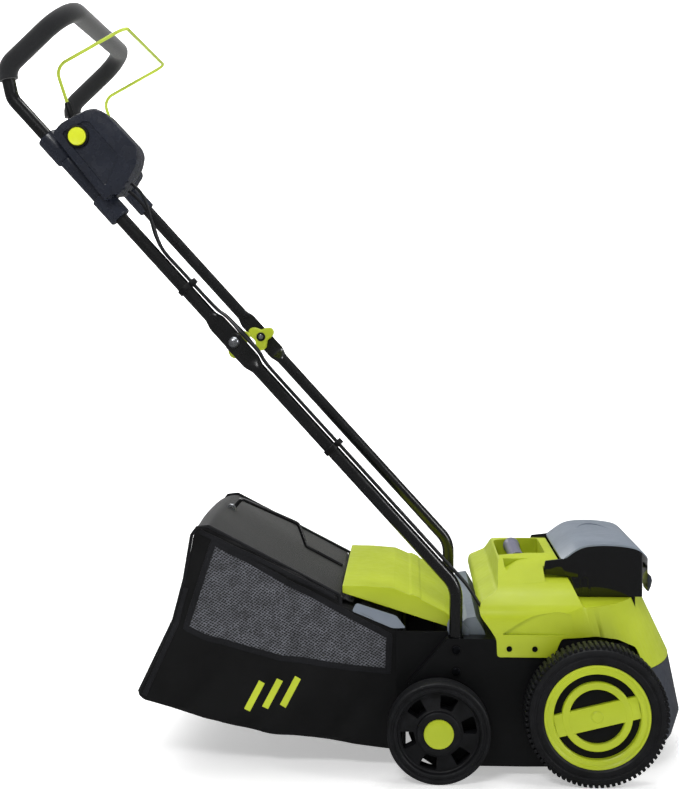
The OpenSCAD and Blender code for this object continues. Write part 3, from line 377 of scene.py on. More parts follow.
def piece(name, bm, body, materials, stands_for=(), sharp=32):
    """Turns a bmesh in millimetres into a finished piece that rides on a body."""
    bmesh.ops.scale(bm, vec=(MM, MM, MM), verts=bm.verts)
    mesh = as_mesh(bm, name)
    for material in materials:
        mesh.materials.append(material)
    mesh.shade_smooth()
    mesh.set_sharp_from_angle(angle=math.radians(sharp))
    obj = placed(name, mesh)
    if body:
        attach(obj, body)
    if stands_for:
        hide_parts(*stands_for)
    return obj


def outward(bm):
    """Closes doubles and turns every face outwards."""
    bmesh.ops.remove_doubles(bm, verts=bm.verts, dist=0.01)
    bmesh.ops.recalc_face_normals(bm, faces=bm.faces)
    return bm


def baked(bm, *modifiers):
    """Puts a bmesh through Blender modifiers and returns it, each given as (kind, settings)."""
    mesh = as_mesh(bm, "raw")
    obj = placed("raw", mesh)
    for kind, settings in modifiers:
        modifier = obj.modifiers.new(kind, kind)
        for key, value in settings.items():
            setattr(modifier, key, value)
    bpy.context.view_layer.update()
    done = bpy.data.meshes.new_from_object(obj.evaluated_get(bpy.context.evaluated_depsgraph_get()))
    result = bmesh.new()
    result.from_mesh(done)
    bpy.data.objects.remove(obj)
    bpy.data.meshes.remove(mesh)
    bpy.data.meshes.remove(done)
    return result


def combined(bm, other, operation):
    """Boolean of two solids; the second is used up."""
    mesh = as_mesh(other, "tool")
    tool = placed("tool", mesh)
    result = baked(bm, ("BOOLEAN", {"operation": operation, "solver": "EXACT", "object": tool}))
    bpy.data.objects.remove(tool)
    bpy.data.meshes.remove(mesh)
    return result


def cut_by(bm, cutter):
    """Takes one solid out of another."""
    return combined(bm, cutter, "DIFFERENCE")


def crossed(bm, other):
    """Keeps only what two solids share."""
    return combined(bm, other, "INTERSECT")


def merge(bm, other):
    """Adds the other bmesh's solids to the first."""
    mesh = as_mesh(other, "part")
    bm.from_mesh(mesh)
    bpy.data.meshes.remove(mesh)
    return bm


def bevel(bm, edges, width, segments):
    """Rounds some edges of a bmesh."""
    bmesh.ops.bevel(bm, geom=edges, offset=width, offset_type="OFFSET", segments=segments, profile=0.5,
                    affect="EDGES", clamp_overlap=True, material=-1)
    return bm


def soften(bm, width, segments=2, angle=30):
    """Rounds every edge sharper than an angle."""
    edges = [e for e in bm.edges if e.is_manifold and e.calc_face_angle(0) > math.radians(angle)]
    return bevel(bm, edges, width, segments)


def between(sign, a, b):
    """Two distances out from the middle as the low and the high y of one side."""
    return sorted((sign * a, sign * b))


def solid(corners, run, width=0.0, segments=2):
    """Solid made by pushing a flat outline along a vector, its edges rounded by width."""
    bm = bmesh.new()
    face = bm.faces.new([bm.verts.new(corner) for corner in corners])
    grown = bmesh.ops.extrude_face_region(bm, geom=[face])["geom"]
    bmesh.ops.translate(bm, vec=run, verts=[v for v in grown if isinstance(v, bmesh.types.BMVert)])
    outward(bm)
    return soften(bm, width, segments) if width else bm


def plate(outline, y0, y1, width=0.0, segments=2):
    """Solid with an outline in the X-Z plane between two y."""
    return solid([(x, y0, z) for x, z in outline], (0, y1 - y0, 0), width, segments)


def standing(outline, z0, z1):
    """Solid with an outline in the X-Y plane between two heights."""
    return solid([(x, y, z0) for x, y in outline], (0, 0, z1 - z0))


def facing(outline, x0, x1):
    """Solid with an outline in the Y-Z plane between two x."""
    return solid([(x0, y, z) for y, z in outline], (x1 - x0, 0, 0))


def block(low, high, width=0.0, segments=2):
    """Box between two corners, its edges rounded by width."""
    bm = bmesh.new()
    bmesh.ops.create_cube(bm, size=1)
    low, high = Vector(low), Vector(high)
    bmesh.ops.scale(bm, vec=high - low, verts=bm.verts)
    bmesh.ops.translate(bm, vec=(low + high) / 2, verts=bm.verts)
    return soften(bm, width, segments) if width else bm


def lathe(profile, centre, steps=96):
    """Turns a profile of (radius, y) round the line along Y through centre (x, z)."""
    bm = bmesh.new()
    verts = [bm.verts.new((centre[0] + r, y, centre[1])) for r, y in profile]
    edges = [bm.edges.new(pair) for pair in zip(verts, verts[1:])]
    bmesh.ops.spin(bm, geom=edges + verts, cent=(centre[0], 0, centre[1]), axis=(0, 1, 0), dvec=(0, 0, 0),
                   angle=math.tau, steps=steps, use_merge=True, use_duplicate=False)
    return outward(bm)


def rod(start, end, radius, rim=0.0, steps=40):
    """Round bar between two points with a small rim bevel."""
    bm = bmesh.new()
    start, end = Vector(start), Vector(end)
    run = end - start
    bmesh.ops.create_cone(bm, cap_ends=True, segments=steps, radius1=radius, radius2=radius, depth=run.length)
    if rim:
        caps = [e for e in bm.edges if abs(e.calc_face_angle(0) - math.pi / 2) < 0.1]
        bevel(bm, caps, rim, 3)
    turn = run.to_track_quat("Z", "Y").to_matrix().to_4x4()
    bmesh.ops.transform(bm, matrix=Matrix.Translation((start + end) / 2) @ turn, verts=bm.verts)
    return bm


def rounded(path, radii, steps=10):
    """Points along a path with its inner corners rounded."""
    points = [Vector(p) for p in path]
    result = [points[0]]
    for before, corner, after, radius in zip(points, points[1:], points[2:], radii):
        u, w = (corner - before).normalized(), (after - corner).normalized()
        turn = u.angle(w)
        inward = u.cross(w).normalized().cross(u)
        centre = corner - u * radius * math.tan(turn / 2) + inward * radius
        for k in range(steps + 1):
            a = turn * k / steps
            result.append(centre - inward * radius * math.cos(a) + u * radius * math.sin(a))
    return result + [points[-1]]


def evenly(points, gap):
    """The same line with points added so that none are further apart than gap."""
    result = [points[0]]
    for a, b in zip(points, points[1:]):
        count = max(1, math.ceil((b - a).length / gap))
        result += [a.lerp(b, k / count) for k in range(1, count + 1)]
    return result


def sweep(points, radius, sides=20, closed=False):
    """Round bar along a line of points."""
    curve = bpy.data.curves.new("line", "CURVE")
    curve.dimensions = "3D"
    curve.bevel_depth = radius
    curve.bevel_resolution = (sides - 4) // 2
    curve.use_fill_caps = not closed
    spline = curve.splines.new("POLY")
    spline.points.add(len(points) - 1)
    for target, point in zip(spline.points, points):
        target.co = (*point, 1)
    spline.use_cyclic_u = closed
    obj = placed("line", curve)
    bpy.context.view_layer.update()
    mesh = bpy.data.meshes.new_from_object(obj.evaluated_get(bpy.context.evaluated_depsgraph_get()))
    bm = bmesh.new()
    bm.from_mesh(mesh)
    bpy.data.objects.remove(obj)
    bpy.data.curves.remove(curve)
    bpy.data.meshes.remove(mesh)
    return outward(bm)


def smooth_line(points, steps=6):
    """Catmull-Rom curve through points, for a lead that bends under its own weight."""
    ends = [points[0] * 2 - points[1], *points, points[-1] * 2 - points[-2]]
    result = []
    for a, b, c, d in zip(ends, ends[1:], ends[2:], ends[3:]):
        for k in range(steps):
            t = k / steps
            result.append(0.5 * (2 * b + (c - a) * t + (2 * a - 5 * b + 4 * c - d) * t * t
                                 + (3 * b - a - 3 * c + d) * t ** 3))
    return result + [points[-1]]


def box_uv(bm):
    """Cloth coordinates in metres, laid flat from the side that each face looks at most."""
    layer = bm.loops.layers.uv.new("cloth")
    for face in bm.faces:
        n = [abs(c) for c in face.normal]
        drop = n.index(max(n))
        keep = [i for i in range(3) if i != drop]
        for loop in face.loops:
            loop[layer].uv = (loop.vert.co[keep[0]] * MM, loop.vert.co[keep[1]] * MM)


def paint_node(material, *names):
    """Gives frame nodes that stay as they are their real finish."""
    for name in names:
        mesh = frame["nodes"][name].data
        mesh.materials.clear()
        mesh.materials.append(material)


def round_outline(points, radius, steps=4):
    """Closed outline with every corner rounded, by at most a third of its shorter side."""
    result = []
    count = len(points)
    for i, point in enumerate(points):
        before, corner, after = Vector(points[i - 1]), Vector(point), Vector(points[(i + 1) % count])
        reach = min(radius, (before - corner).length / 3, (after - corner).length / 3)
        a = corner + (before - corner).normalized() * reach
        b = corner + (after - corner).normalized() * reach
        for k in range(steps + 1):
            t = k / steps
            result.append(tuple(a * (1 - t) ** 2 + corner * 2 * t * (1 - t) + b * t * t))
    return result


def rims(bm, y, width, segments=3):
    """Rounds the edge loop that lies at one y."""
    edges = [e for e in bm.edges
             if all(abs(v.co.y - y) < 0.01 for v in e.verts) and e.calc_face_angle(0) > 0.6]
    return bevel(bm, edges, width, segments)


# ---------------------------------------------------------------- handle

FOOT_X = 151
FOOT_Z = 120
FLAT_HALF = 13.5
FLAT_T = 4.7
FLAT_LEN = 34
SWELL_LEN = 18
TUBE_GAP = 0.25
BOLT_END = 13.3
STRAIGHT = 68
TUBE_STEP = 1.6
RISER = UPPER_BEND + Vector((-9, 43))
LOOP_TOP = UPPER_BEND + Vector((83, 128))


def flatten_end(verts, up, y_tube, y_flat):
    """Presses a tube flat round the fold bolt, rounded at its end, swelling back to round."""
    for vert in verts:
        offset = Vector((vert.co.x, vert.co.z)) - FOLD
        s, n = offset.dot(ALONG), offset.dot(ABOVE)
        amount = min(max((FLAT_LEN + SWELL_LEN - s * up) / SWELL_LEN, 0), 1)
        if amount == 0:
            continue
        amount = amount * amount * (3 - 2 * amount)
        half = FLAT_HALF if s * up > 0 else math.sqrt(max(FLAT_HALF ** 2 - s * s, 0.04))
        across = (vert.co.y - y_tube) / TUBE_R
        flat_y = y_flat + max(-1, min(1, across * 2.4)) * FLAT_T / 2
        grown = n + (n / TUBE_R * half - n) * amount
        place = FOLD + ALONG * s + ABOVE * grown
        vert.co = (place.x, vert.co.y + (flat_y - vert.co.y) * amount, place.y)


def add_lower_handle(side, sign):
    """Lower tube: bolted to the deck side, bent once, flattened at the fold bolt."""
    y = sign * TUBE_Y
    bend_z = FOLD.y - (FOOT_X - FOLD.x) * math.tan(HANDLE_ANGLE)
    path = rounded([(FOOT_X, y, FOOT_Z), (FOOT_X, y, bend_z), on_handle(-70, 0, y)], [45], 14)
    path += evenly([on_handle(-STRAIGHT, 0, y), on_handle(BOLT_END, 0, y)], TUBE_STEP)
    bm = sweep(path, TUBE_R, 28)
    flatten_end(bm.verts, -1, y, sign * (TUBE_Y + TUBE_GAP + FLAT_T / 2))
    piece("handle_tube_lower_" + side, bm, "root", [TUBE], ["lower_handle_" + side])


def grip_path(y_start):
    """Middle line of the tube round the loop, from below one riser to below the other."""
    back = (RISER - UPPER_BEND).normalized()
    start = RISER - back * 17
    corners = [(start.x, -y_start, start.y), (RISER.x, -y_start, RISER.y), (LOOP_TOP.x, -y_start, LOOP_TOP.y),
               (LOOP_TOP.x, y_start, LOOP_TOP.y), (RISER.x, y_start, RISER.y), (start.x, y_start, start.y)]
    return rounded(corners, [28, 50, 50, 28], 14)


def add_upper_handle():
    """Upper tube: one bent loop from fold bolt to fold bolt."""
    y = TUBE_Y
    near = evenly([on_handle(-BOLT_END, 0, -y), on_handle(STRAIGHT, 0, -y)], TUBE_STEP)
    far = evenly([on_handle(STRAIGHT, 0, y), on_handle(-BOLT_END, 0, y)], TUBE_STEP)
    corners = [on_handle(70, 0, -y), (UPPER_BEND.x, -y, UPPER_BEND.y), (RISER.x, -y, RISER.y),
               (LOOP_TOP.x, -y, LOOP_TOP.y), (LOOP_TOP.x, y, LOOP_TOP.y), (RISER.x, y, RISER.y),
               (UPPER_BEND.x, y, UPPER_BEND.y), on_handle(70, 0, y)]
    bm = sweep(near + rounded(corners, [30, 28, 50, 50, 28, 30], 14) + far, TUBE_R, 28)
    inner = TUBE_Y - TUBE_GAP - FLAT_T / 2
    for sign in (-1, 1):
        flatten_end([v for v in bm.verts if v.co.y * sign > 0], 1, sign * TUBE_Y, sign * inner)
    piece("handle_loop_tube", bm, "upper_handle", [TUBE], ["upper_handle"])


def add_grip():
    """Closed-cell foam sleeve round the loop, its ends rolled in."""
    bm = soften(sweep(grip_path(TUBE_Y), 14, 40), 4, 4, angle=60)
    grip = piece("foam_grip", bm, "upper_handle", [FOAM], ["handle_grip"], sharp=50)


def add_fold_joint(side, sign):
    """Coach bolt outside, three-lobed clamp knob inside."""
    out = TUBE_Y + TUBE_GAP + FLAT_T
    head = lathe([(0.01, 5.2), (2.5, 5.1), (5, 4.4), (7, 2.6), (8, 0.6), (8, 0.1), (0.01, 0.1)], FOLD, 48)
    bmesh.ops.scale(head, vec=(1, sign, 1), verts=head.verts)
    bmesh.ops.translate(head, vec=(0, sign * out, 0), verts=head.verts)
    outward(head)
    merge(head, rod((FOLD.x, sign * (out + 0.2), FOLD.y), (FOLD.x, sign * (TUBE_Y - 24), FOLD.y), 4, 0.5))
    piece("fold_bolt_" + side, head, "upper_handle", [ZINC], ["fold_bolts"])
    face = TUBE_Y - 5.7
    outline = []
    for step in range(108):
        angle = math.tau * step / 108
        reach = 17.6 + 5.6 * math.cos(3 * (angle - math.radians(30)))
        outline.append((FOLD.x + reach * math.cos(angle), FOLD.y + reach * math.sin(angle)))
    bm = plate(outline, *between(sign, face, face - 15))
    rims(bm, sign * (face - 15), 3, 4)
    rims(bm, sign * face, 1, 2)
    piece("clamp_knob_" + side, bm, "knob_" + side, [LIME], ["knob_" + side], sharp=45)
    centre = rod((FOLD.x, sign * (face - 14), FOLD.y), (FOLD.x, sign * (face - 16.2), FOLD.y), 7.5, 0.7)
    piece("clamp_knob_insert_" + side, centre, "knob_" + side, [BLACK])


BAIL_Y = 166.5
LEVER_DIR = Vector((-29, 90)).normalized()


def add_bail():
    """Bail: a bent lime wire held by a black lever on each side."""
    pivot = Vector(BAIL)
    knee = pivot + LEVER_DIR * 95
    top = pivot + Vector((73, 146))
    foot = pivot + LEVER_DIR * 16
    y = BAIL_Y
    corners = [(foot.x, -y, foot.y), (knee.x, -y, knee.y), (top.x, -y, top.y),
               (top.x, y, top.y), (knee.x, y, knee.y), (foot.x, y, foot.y)]
    bm = sweep(rounded(corners, [20, 16, 16, 20], 12), 2.5, 20)
    piece("bail_bow", bm, "bail", [WIRE_LIME], ["bail_wire"])
    levers = bmesh.new()
    for sign in (-1, 1):
        hub = rod((pivot.x, sign * y - 4.5, pivot.y), (pivot.x, sign * y + 4.5, pivot.y), 9, 1.6)
        tip = pivot + LEVER_DIR * 42
        arm = rod((pivot.x, sign * y, pivot.y), (tip.x, sign * y, tip.y), 4.5, 1.6, 24)
        merge(merge(levers, hub), arm)
    piece("bail_arms", levers, "bail", [BLACK], ["bail_levers"])


# ---------------------------------------------------------------- switch box

BOX_CORNERS = [(63, -53), (76, -38), (112, -20), (124, -18), (138, -24), (180, -69), (184, -80), (181, -97),
               (158, -137), (146, -137), (138, -146), (132, -140)]
BOX_PANEL = [(76, -52), (107, -36), (115, -36), (158, -84), (138, -128)]
BOX_OUT = 232
BOX_IN = 172
BUTTON = UPPER_BEND + Vector((99, -57))
BUTTON_R = 12.5
HALF_GAP = 0.3
PANEL_DEPTH = 2.6
WELL_DEPTH = 9.5
SLEEVES = [(72, 116, 16, 2.5), (186, 228, 16, 2.5), (100, 200, 13, 1)]


def from_bend(points):
    """Outline given from the upper tube bend."""
    return [(UPPER_BEND.x + x, UPPER_BEND.y + z) for x, z in points]


def tube_s(distance):
    """Distance from the fold bolt of a point given from the upper bend."""
    return UPPER_LEN - distance


def collar(start, end, radius, rim):
    """Sleeve round the right tube between two distances from the upper bend."""
    a, b = on_handle(tube_s(start), 0, -TUBE_Y), on_handle(tube_s(end), 0, -TUBE_Y)
    return rod(a, b, radius, rim, 64)


def half_sleeve(sleeve, plane, sign):
    """Keeps the part of a sleeve that lies on one side of the box's split, and closes the cut."""
    everything = sleeve.verts[:] + sleeve.edges[:] + sleeve.faces[:]
    cut = bmesh.ops.bisect_plane(sleeve, geom=everything, plane_co=(0, plane, 0), plane_no=(0, sign, 0),
                                 clear_outer=True)
    bmesh.ops.holes_fill(sleeve, edges=[e for e in cut["geom_cut"] if isinstance(e, bmesh.types.BMEdge)])
    return outward(sleeve)


def add_switch_box():
    """Two moulded halves that clamp the tube, split along its middle, with a sunk panel round the button."""
    low_split, high_split = -TUBE_Y - HALF_GAP, -TUBE_Y + HALF_GAP
    outline = round_outline(from_bend(BOX_CORNERS), 8)
    outer = rims(plate(outline, -BOX_OUT, low_split), -BOX_OUT, 5, 5)
    rims(outer, low_split, 0.6, 1)
    panel = plate(round_outline(from_bend(BOX_PANEL), 7), -BOX_OUT - 2, -BOX_OUT + PANEL_DEPTH)
    outer = cut_by(outer, rims(panel, -BOX_OUT + PANEL_DEPTH, 1.6, 3))
    well = rod((BUTTON.x, -BOX_OUT - 4, BUTTON.y), (BUTTON.x, -BOX_OUT + WELL_DEPTH, BUTTON.y),
               BUTTON_R + 0.6, 0, 64)
    outer = cut_by(outer, well)
    inner = rims(plate(outline, high_split, -BOX_IN), -BOX_IN, 4, 4)
    rims(inner, high_split, 0.6, 1)
    for sleeve in SLEEVES:
        merge(outer, half_sleeve(collar(*sleeve), low_split, 1))
        merge(inner, half_sleeve(collar(*sleeve), high_split, -1))
    piece("switch_box_cover", outer, "upper_handle", [SLATE], ["switch_box_outer"])
    piece("switch_box_back", inner, "upper_handle", [SLATE], ["switch_box_inner"])
    face = -BOX_OUT
    bezel = lathe([(BUTTON_R + 0.5, face + 4), (BUTTON_R + 0.5, face - 0.6), (BUTTON_R + 1.2, face - 1.2),
                   (BUTTON_R + 3.2, face - 1.0), (BUTTON_R + 3.8, face + 0.2), (BUTTON_R + 3.8, face + 4),
                   (BUTTON_R + 0.5, face + 4)], BUTTON, 72)
    piece("lock_button_bezel", bezel, "upper_handle", [BLACK])
    face = -BOX_OUT - 4
    cap = lathe([(0.01, face + 1.1), (6, face + 0.9), (10.2, face + 0.2), (11.4, face), (12.3, face + 0.7),
                 (12.5, face + 2), (12.5, face + 8), (0.01, face + 8)], BUTTON, 72)
    piece("lock_button_cap", cap, "lock_button", [LIME_BRIGHT], ["lock_button"])
    heads = bmesh.new()
    for x, z in from_bend([(130, -38), (150, -118)]):
        merge(heads, rod((x, -BOX_IN - 1.4, z), (x, -BOX_IN - 0.2, z), 3.4, 0.5, 24))
    piece("switch_box_screw_heads", heads, "upper_handle", [ZINC], ["switch_box_screws"])


def add_bail_bracket():
    """Clamp on the left tube that carries the bail's other pivot."""
    a, b = on_handle(tube_s(118), 0, TUBE_Y), on_handle(tube_s(178), 0, TUBE_Y)
    bm = rod(a, b, 14, 2.5, 64)
    pivot = Vector(BAIL)
    corners = [(-9, 6), (8, 8), (32, -32), (14, -60), (-26, -22)]
    ear = plate(round_outline([(pivot.x + x, pivot.y + z) for x, z in corners], 8), BOX_IN, TUBE_Y)
    merge(bm, rims(ear, BOX_IN, 2, 3))
    merge(bm, rod((pivot.x, BAIL_Y - 5, pivot.y), (pivot.x, BOX_IN + 1, pivot.y), 4, 0.4, 32))
    piece("bail_clamp", bm, "upper_handle", [SLATE], ["bail_bracket"])


# ---------------------------------------------------------------- leads

LEAD_R = 2.3
LEAD_A = [(262, 45, -212), (244, 46, -212), (224, 40, -210), (204, 29, -207), (184, 19, -204),
          (160, 13, -203), (120, 13, -203), (80, 13, -203), (50, 14, -204), (36, 17, -207),
          (22, 18, -211), (0, 18, -219), (-22, 18, -213), (-36, 17, -208), (-50, 14, -204),
          (-80, 13, -203), (-200, 13, -203), (-280, 13, -203), (-350, 13, -203), (-420, 13, -203),
          (-450, 13, -202), (-480, 12, -201), (-510, 7, -199), (-536, 4, -197)]
LEAD_B = [(258, 34, -206), (240, 36, -203), (220, 34, -201), (200, 27, -199), (180, 18, -198),
          (160, 13, -197), (120, 13, -197), (80, 13, -197), (50, 14, -197), (36, 17, -198),
          (22, 18, -199), (0, 19, -199.5), (-22, 18, -199), (-36, 17, -198), (-50, 14, -197),
          (-80, 13, -197), (-200, 13, -197), (-280, 13, -197), (-350, 13, -197), (-420, 13, -197),
          (-450, 13, -196), (-480, 12, -194), (-510, 7, -192), (-536, 4, -190)]
CLIPS = {"upper": (102, "upper_handle"), "lower": (-205, "root")}


def add_lead(name, route, replaced):
    """One sheathed lead from the switch box down the right tube into the hood."""
    line = smooth_line([on_handle(*point) for point in route], 6)
    line = evenly(line, 4)
    bm = sweep(line, LEAD_R, 14)
    lead = piece(name, bm, None, [CABLE], replaced)
    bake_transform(lead)


def add_clip(name, s, body):
    """Moulded cable tie block that hugs the tube and holds both leads."""
    bm = rod(on_handle(s - 4, 0, -TUBE_Y), on_handle(s + 4, 0, -TUBE_Y), TUBE_R + 2, 0.8, 48)
    merge(bm, rod(on_handle(s - 4, 12, -TUBE_Y), on_handle(s + 4, 12, -TUBE_Y), 8, 0.8, 40))
    piece("lead_clip_" + name, bm, body, [BLACK], ["cable_clip_" + name])


# ---------------------------------------------------------------- wheels

FRONT = Vector((345, 100))
FRONT_IN = 221.5
FRONT_OUT = 265.5
REAR = Vector((126, 72.5))
REAR_IN = 226
REAR_OUT = 260
LUGS = 78


def mirrored(bm, sign):
    """Leaves a left-hand shape as it is, or mirrors it to the right-hand side."""
    bmesh.ops.scale(bm, vec=(1, sign, 1), verts=bm.verts)
    return outward(bm) if sign < 0 else bm


def turned(bm, centre, angle):
    """Turns a shape about the line along Y through centre."""
    bmesh.ops.rotate(bm, cent=(centre.x, 0, centre.y), matrix=Matrix.Rotation(angle, 3, "Y"), verts=bm.verts)
    return bm


def add_front_wheel(side, sign):
    """Hard tyre with transverse lugs on a dished hub whose face is a lime grille over black."""
    body = "front_wheel_" + side
    a, b = FRONT_IN, FRONT_OUT
    tyre = lathe([(74, a + 2), (77, a), (88, a), (94, a + 1.5), (96.2, a + 5), (96.6, a + 8), (96.6, b - 8),
                  (96.2, b - 5), (94, b - 1.2), (90, b), (87.5, b), (86.8, b - 0.8), (84, b - 0.8),
                  (83.2, b), (77, b), (74, b - 2), (74, a + 2)], FRONT, 156)
    lug = block((FRONT.x - 2.5, a + 3.5, FRONT.y + 94), (FRONT.x + 2.5, b - 3.5, FRONT.y + 100), 1.1, 2)
    for k in range(LUGS):
        merge(tyre, turned(lug.copy(), FRONT, math.tau * k / LUGS))
    lug.free()
    piece("front_tyre_rubber_" + side, mirrored(tyre, sign), body, [RUBBER], ["front_tyre_" + side])
    hub = lathe([(14, a + 4), (14, b - 14), (60, b - 14), (60.5, b - 4.5), (62.5, b - 3), (68.5, b - 3.6),
                 (71, b - 1.6), (73.4, b - 1.6), (74, b - 3), (74, a + 3), (69, a + 3), (68, b - 20),
                 (20, b - 20), (20, a + 4), (14, a + 4)], FRONT, 144)
    ring = lathe([(38.5, b - 13), (38.5, b - 6.4), (39.7, b - 5.2), (47.8, b - 4.8), (49, b - 6),
                  (49, b - 13), (38.5, b - 13)], FRONT, 120)
    merge(hub, ring)
    band = block((FRONT.x - 60, b - 13.5, FRONT.y - 16), (FRONT.x + 60, b - 5.2, FRONT.y + 16), 1.4, 3)
    merge(hub, turned(band, FRONT, math.radians(-14)))
    boss = [(0.01, b - 6), (0.01, b - 3.6), (7, b - 3.6), (8.6, b - 4.6), (9, b - 6), (0.01, b - 6)]
    merge(hub, lathe(boss, FRONT, 48))
    piece("front_hub_moulding_" + side, mirrored(hub, sign), body, [LIME], ["front_hub_" + side])
    disc = [(0.01, b - 16), (0.01, b - 12.2), (60.2, b - 12.2), (60.2, b - 16), (0.01, b - 16)]
    back = lathe(disc, FRONT, 96)
    piece("front_hub_backing_" + side, mirrored(back, sign), body, [BLACK])


def sector(centre, r_in, r_out, middle, half, y0, y1, corner):
    """Window between two spokes: a ring sector with rounded corners."""
    steps = 8
    outer = [(r_out, middle + half * (2 * k / steps - 1)) for k in range(steps + 1)]
    inner = [(r_in, middle + half * (1 - 2 * k / steps)) for k in range(steps + 1)]
    points = [(centre.x + r * math.cos(a), centre.y + r * math.sin(a)) for r, a in outer + inner]
    bm = plate(points, y0, y1)
    edges = [e for e in bm.edges if abs(e.verts[0].co.x - e.verts[1].co.x) < 0.01
             and abs(e.verts[0].co.z - e.verts[1].co.z) < 0.01 and e.calc_face_angle(0) > 0.9]
    return bevel(bm, edges, corner, 4)


def add_rear_wheel(side, sign):
    """Moulded rear wheel: raised rim, six windows in a sunk web, hub ring and lime cap."""
    body = "rear_wheel_" + side
    a, b = REAR_IN, REAR_OUT
    wheel = lathe([(0.01, a + 3), (18, a + 2), (22, a), (70, a), (72, a + 1.2), (72.5, a + 3), (72.5, b - 3),
                   (72, b - 1.2), (70.4, b), (67.5, b), (66.4, b - 1.4), (63.8, b - 1.4), (62.8, b - 0.2),
                   (60, b - 0.4), (58.4, b - 2), (57, b - 8.4), (55.4, b - 9.4), (33, b - 9), (31.4, b - 8),
                   (30.6, b - 1.2), (29.4, b - 0.2), (24, b), (22.4, b - 0.6), (0.01, b - 0.6)], REAR, 120)
    for k in range(6):
        middle = math.radians(13 + 60 * k)
        wheel = cut_by(wheel, sector(REAR, 34.5, 53.5, middle, math.radians(14), a - 5, b + 5, 4))
    piece("rear_wheel_moulding_" + side, mirrored(soften(wheel, 0.6, 1, 55), sign), body, [RUBBER],
          ["rear_wheel_" + side])
    cap = lathe([(0.01, b + 2.4), (12, b + 2.7), (17.6, b + 2.4), (20.4, b + 1.2), (21, b), (21, b - 1),
                 (0.01, b - 1)], REAR, 72)
    piece("rear_wheel_cap_" + side, mirrored(cap, sign), body, [LIME], ["rear_cap_" + side])


# ---------------------------------------------------------------- hood and front guard

HOOD_HALF = 216
HOOD_SIDE = [(209, 172), (208, 197), (200, 210), (184, 232), (186, 248), (211, 262), (217, 293), (235, 295),
             (264, 297), (303, 297), (318, 268), (331, 241), (424, 241), (442, 233), (505, 142), (428, 142),
             (412, 176), (383, 192), (350, 200), (300, 199), (288, 172)]
HOOD_FRONT = [(-216, 100), (-216, 234), (-186, 262), (-84, 297), (84, 297), (186, 262), (216, 234),
              (216, 100)]
NOSE_X = 482
NOSE_C = 252
NOSE_LEAN = 0.484
SKIRT_Z = 142
RECESS = (219, 289, 70, 240)
LID_HALF = 124.5
BAY = (333, 417)


def nose_plan(nose, half, back, steps=64):
    """Rounded nose outline seen from above."""
    result = [(back, -half)]
    for k in range(steps + 1):
        t = math.radians(-90 + 180 * k / steps)
        result.append((NOSE_C + (nose - NOSE_C) * max(math.cos(t), 0) ** 0.7, half * math.sin(t)))
    return result + [(back, half)]


def leaning(levels, half, back):
    """Solid between nose outlines at several heights, given as (z, nose)."""
    bm = bmesh.new()
    rings = [[bm.verts.new((x, y, z)) for x, y in nose_plan(nose, half, back)] for z, nose in levels]
    for low, high in zip(rings, rings[1:]):
        for k, corner in enumerate(low):
            bm.faces.new((low[k - 1], corner, high[k], high[k - 1]))
    bm.faces.new(rings[0])
    bm.faces.new(rings[-1])
    return outward(bm)


def hood_form():
    """The hood's outer shape: its side and front outlines crossed with a nose that leans back."""
    bm = plate(round_outline(HOOD_SIDE, 5), -HOOD_HALF, HOOD_HALF)
    bm = crossed(bm, facing(round_outline(HOOD_FRONT, 18, 6), 150, 510))
    return crossed(bm, leaning([(z, NOSE_X - (z - SKIRT_Z) * NOSE_LEAN) for z in (100, 331)], HOOD_HALF, 160))


def add_hood():
    """Lime moulded hood with a hand recess, a battery bay, sunk side panels and notches for the lid."""
    bm = soften(hood_form(), 3.2, 3, 32)
    x0, x1, half, floor = RECESS
    bm = cut_by(bm, block((x0, -half, floor), (x1, half, 330), 6, 4))
    bm = cut_by(bm, block((BAY[0], -LID_HALF + 1, 221), (BAY[1], LID_HALF - 1, 330)))
    low = [(214, 204), (236, 219), (259, 231), (295, 237), (312, 233), (320, 218), (322, 204)]
    high = [(333, 206), (331, 228), (340, 238), (412, 238), (424, 230), (430, 206)]
    shoulder = [(226, 250), (246, 262), (276, 265), (276, 292), (240, 290), (221, 280)]
    for sign in (-1, 1):
        y0, y1 = between(sign, LID_HALF - 6.5, HOOD_HALF + 1)
        bm = cut_by(bm, block((281, y0, 269.5), (331, y1, 330), 1, 2))
        for outline, depth in ((low, 4.5), (high, 6)):
            y0, y1 = between(sign, HOOD_HALF - depth, HOOD_HALF + 5)
            bm = cut_by(bm, plate(round_outline(outline, 6), y0, y1))
        flute = plate(round_outline(shoulder, 5), *between(sign, 96, HOOD_HALF - 36))
        bmesh.ops.translate(flute, vec=(0, 0, 29), verts=flute.verts)
        bm = cut_by(bm, flute)
    piece("hood_shell", bm, "root", [LIME], ["motor_hood"], sharp=38)


def add_front_guard():
    """Dark leaning apron round the nose, rolled at its top and bottom edges."""
    outer = leaning([(25, 491), (55, 500.5), (SKIRT_Z - 1, NOSE_X)], HOOD_HALF - 2, 160)
    inner = leaning([(10, 482), (55, 496.5), (SKIRT_Z + 20, NOSE_X - 10)], HOOD_HALF - 6, 150)
    bm = cut_by(outer, inner)
    bm = crossed(bm, block((402, -HOOD_HALF, 0), (520, HOOD_HALF, 200)))
    piece("front_apron", soften(bm, 1.2, 2, 40), "root", [GUARD], ["front_guard"], sharp=40)


def add_carry_handle():
    """Bar across the hand recess, thicker at its ends."""
    bm = lathe([(0.01, -70), (13, -70), (13, -62), (11.4, -58), (11, -50), (11, 50), (11.4, 58), (13, 62),
                (13, 70), (0.01, 70)], (248, 285), 56)
    piece("carry_bar", bm, "root", [GRIP_BAR], ["carry_handle"])


# ---------------------------------------------------------------- battery lid

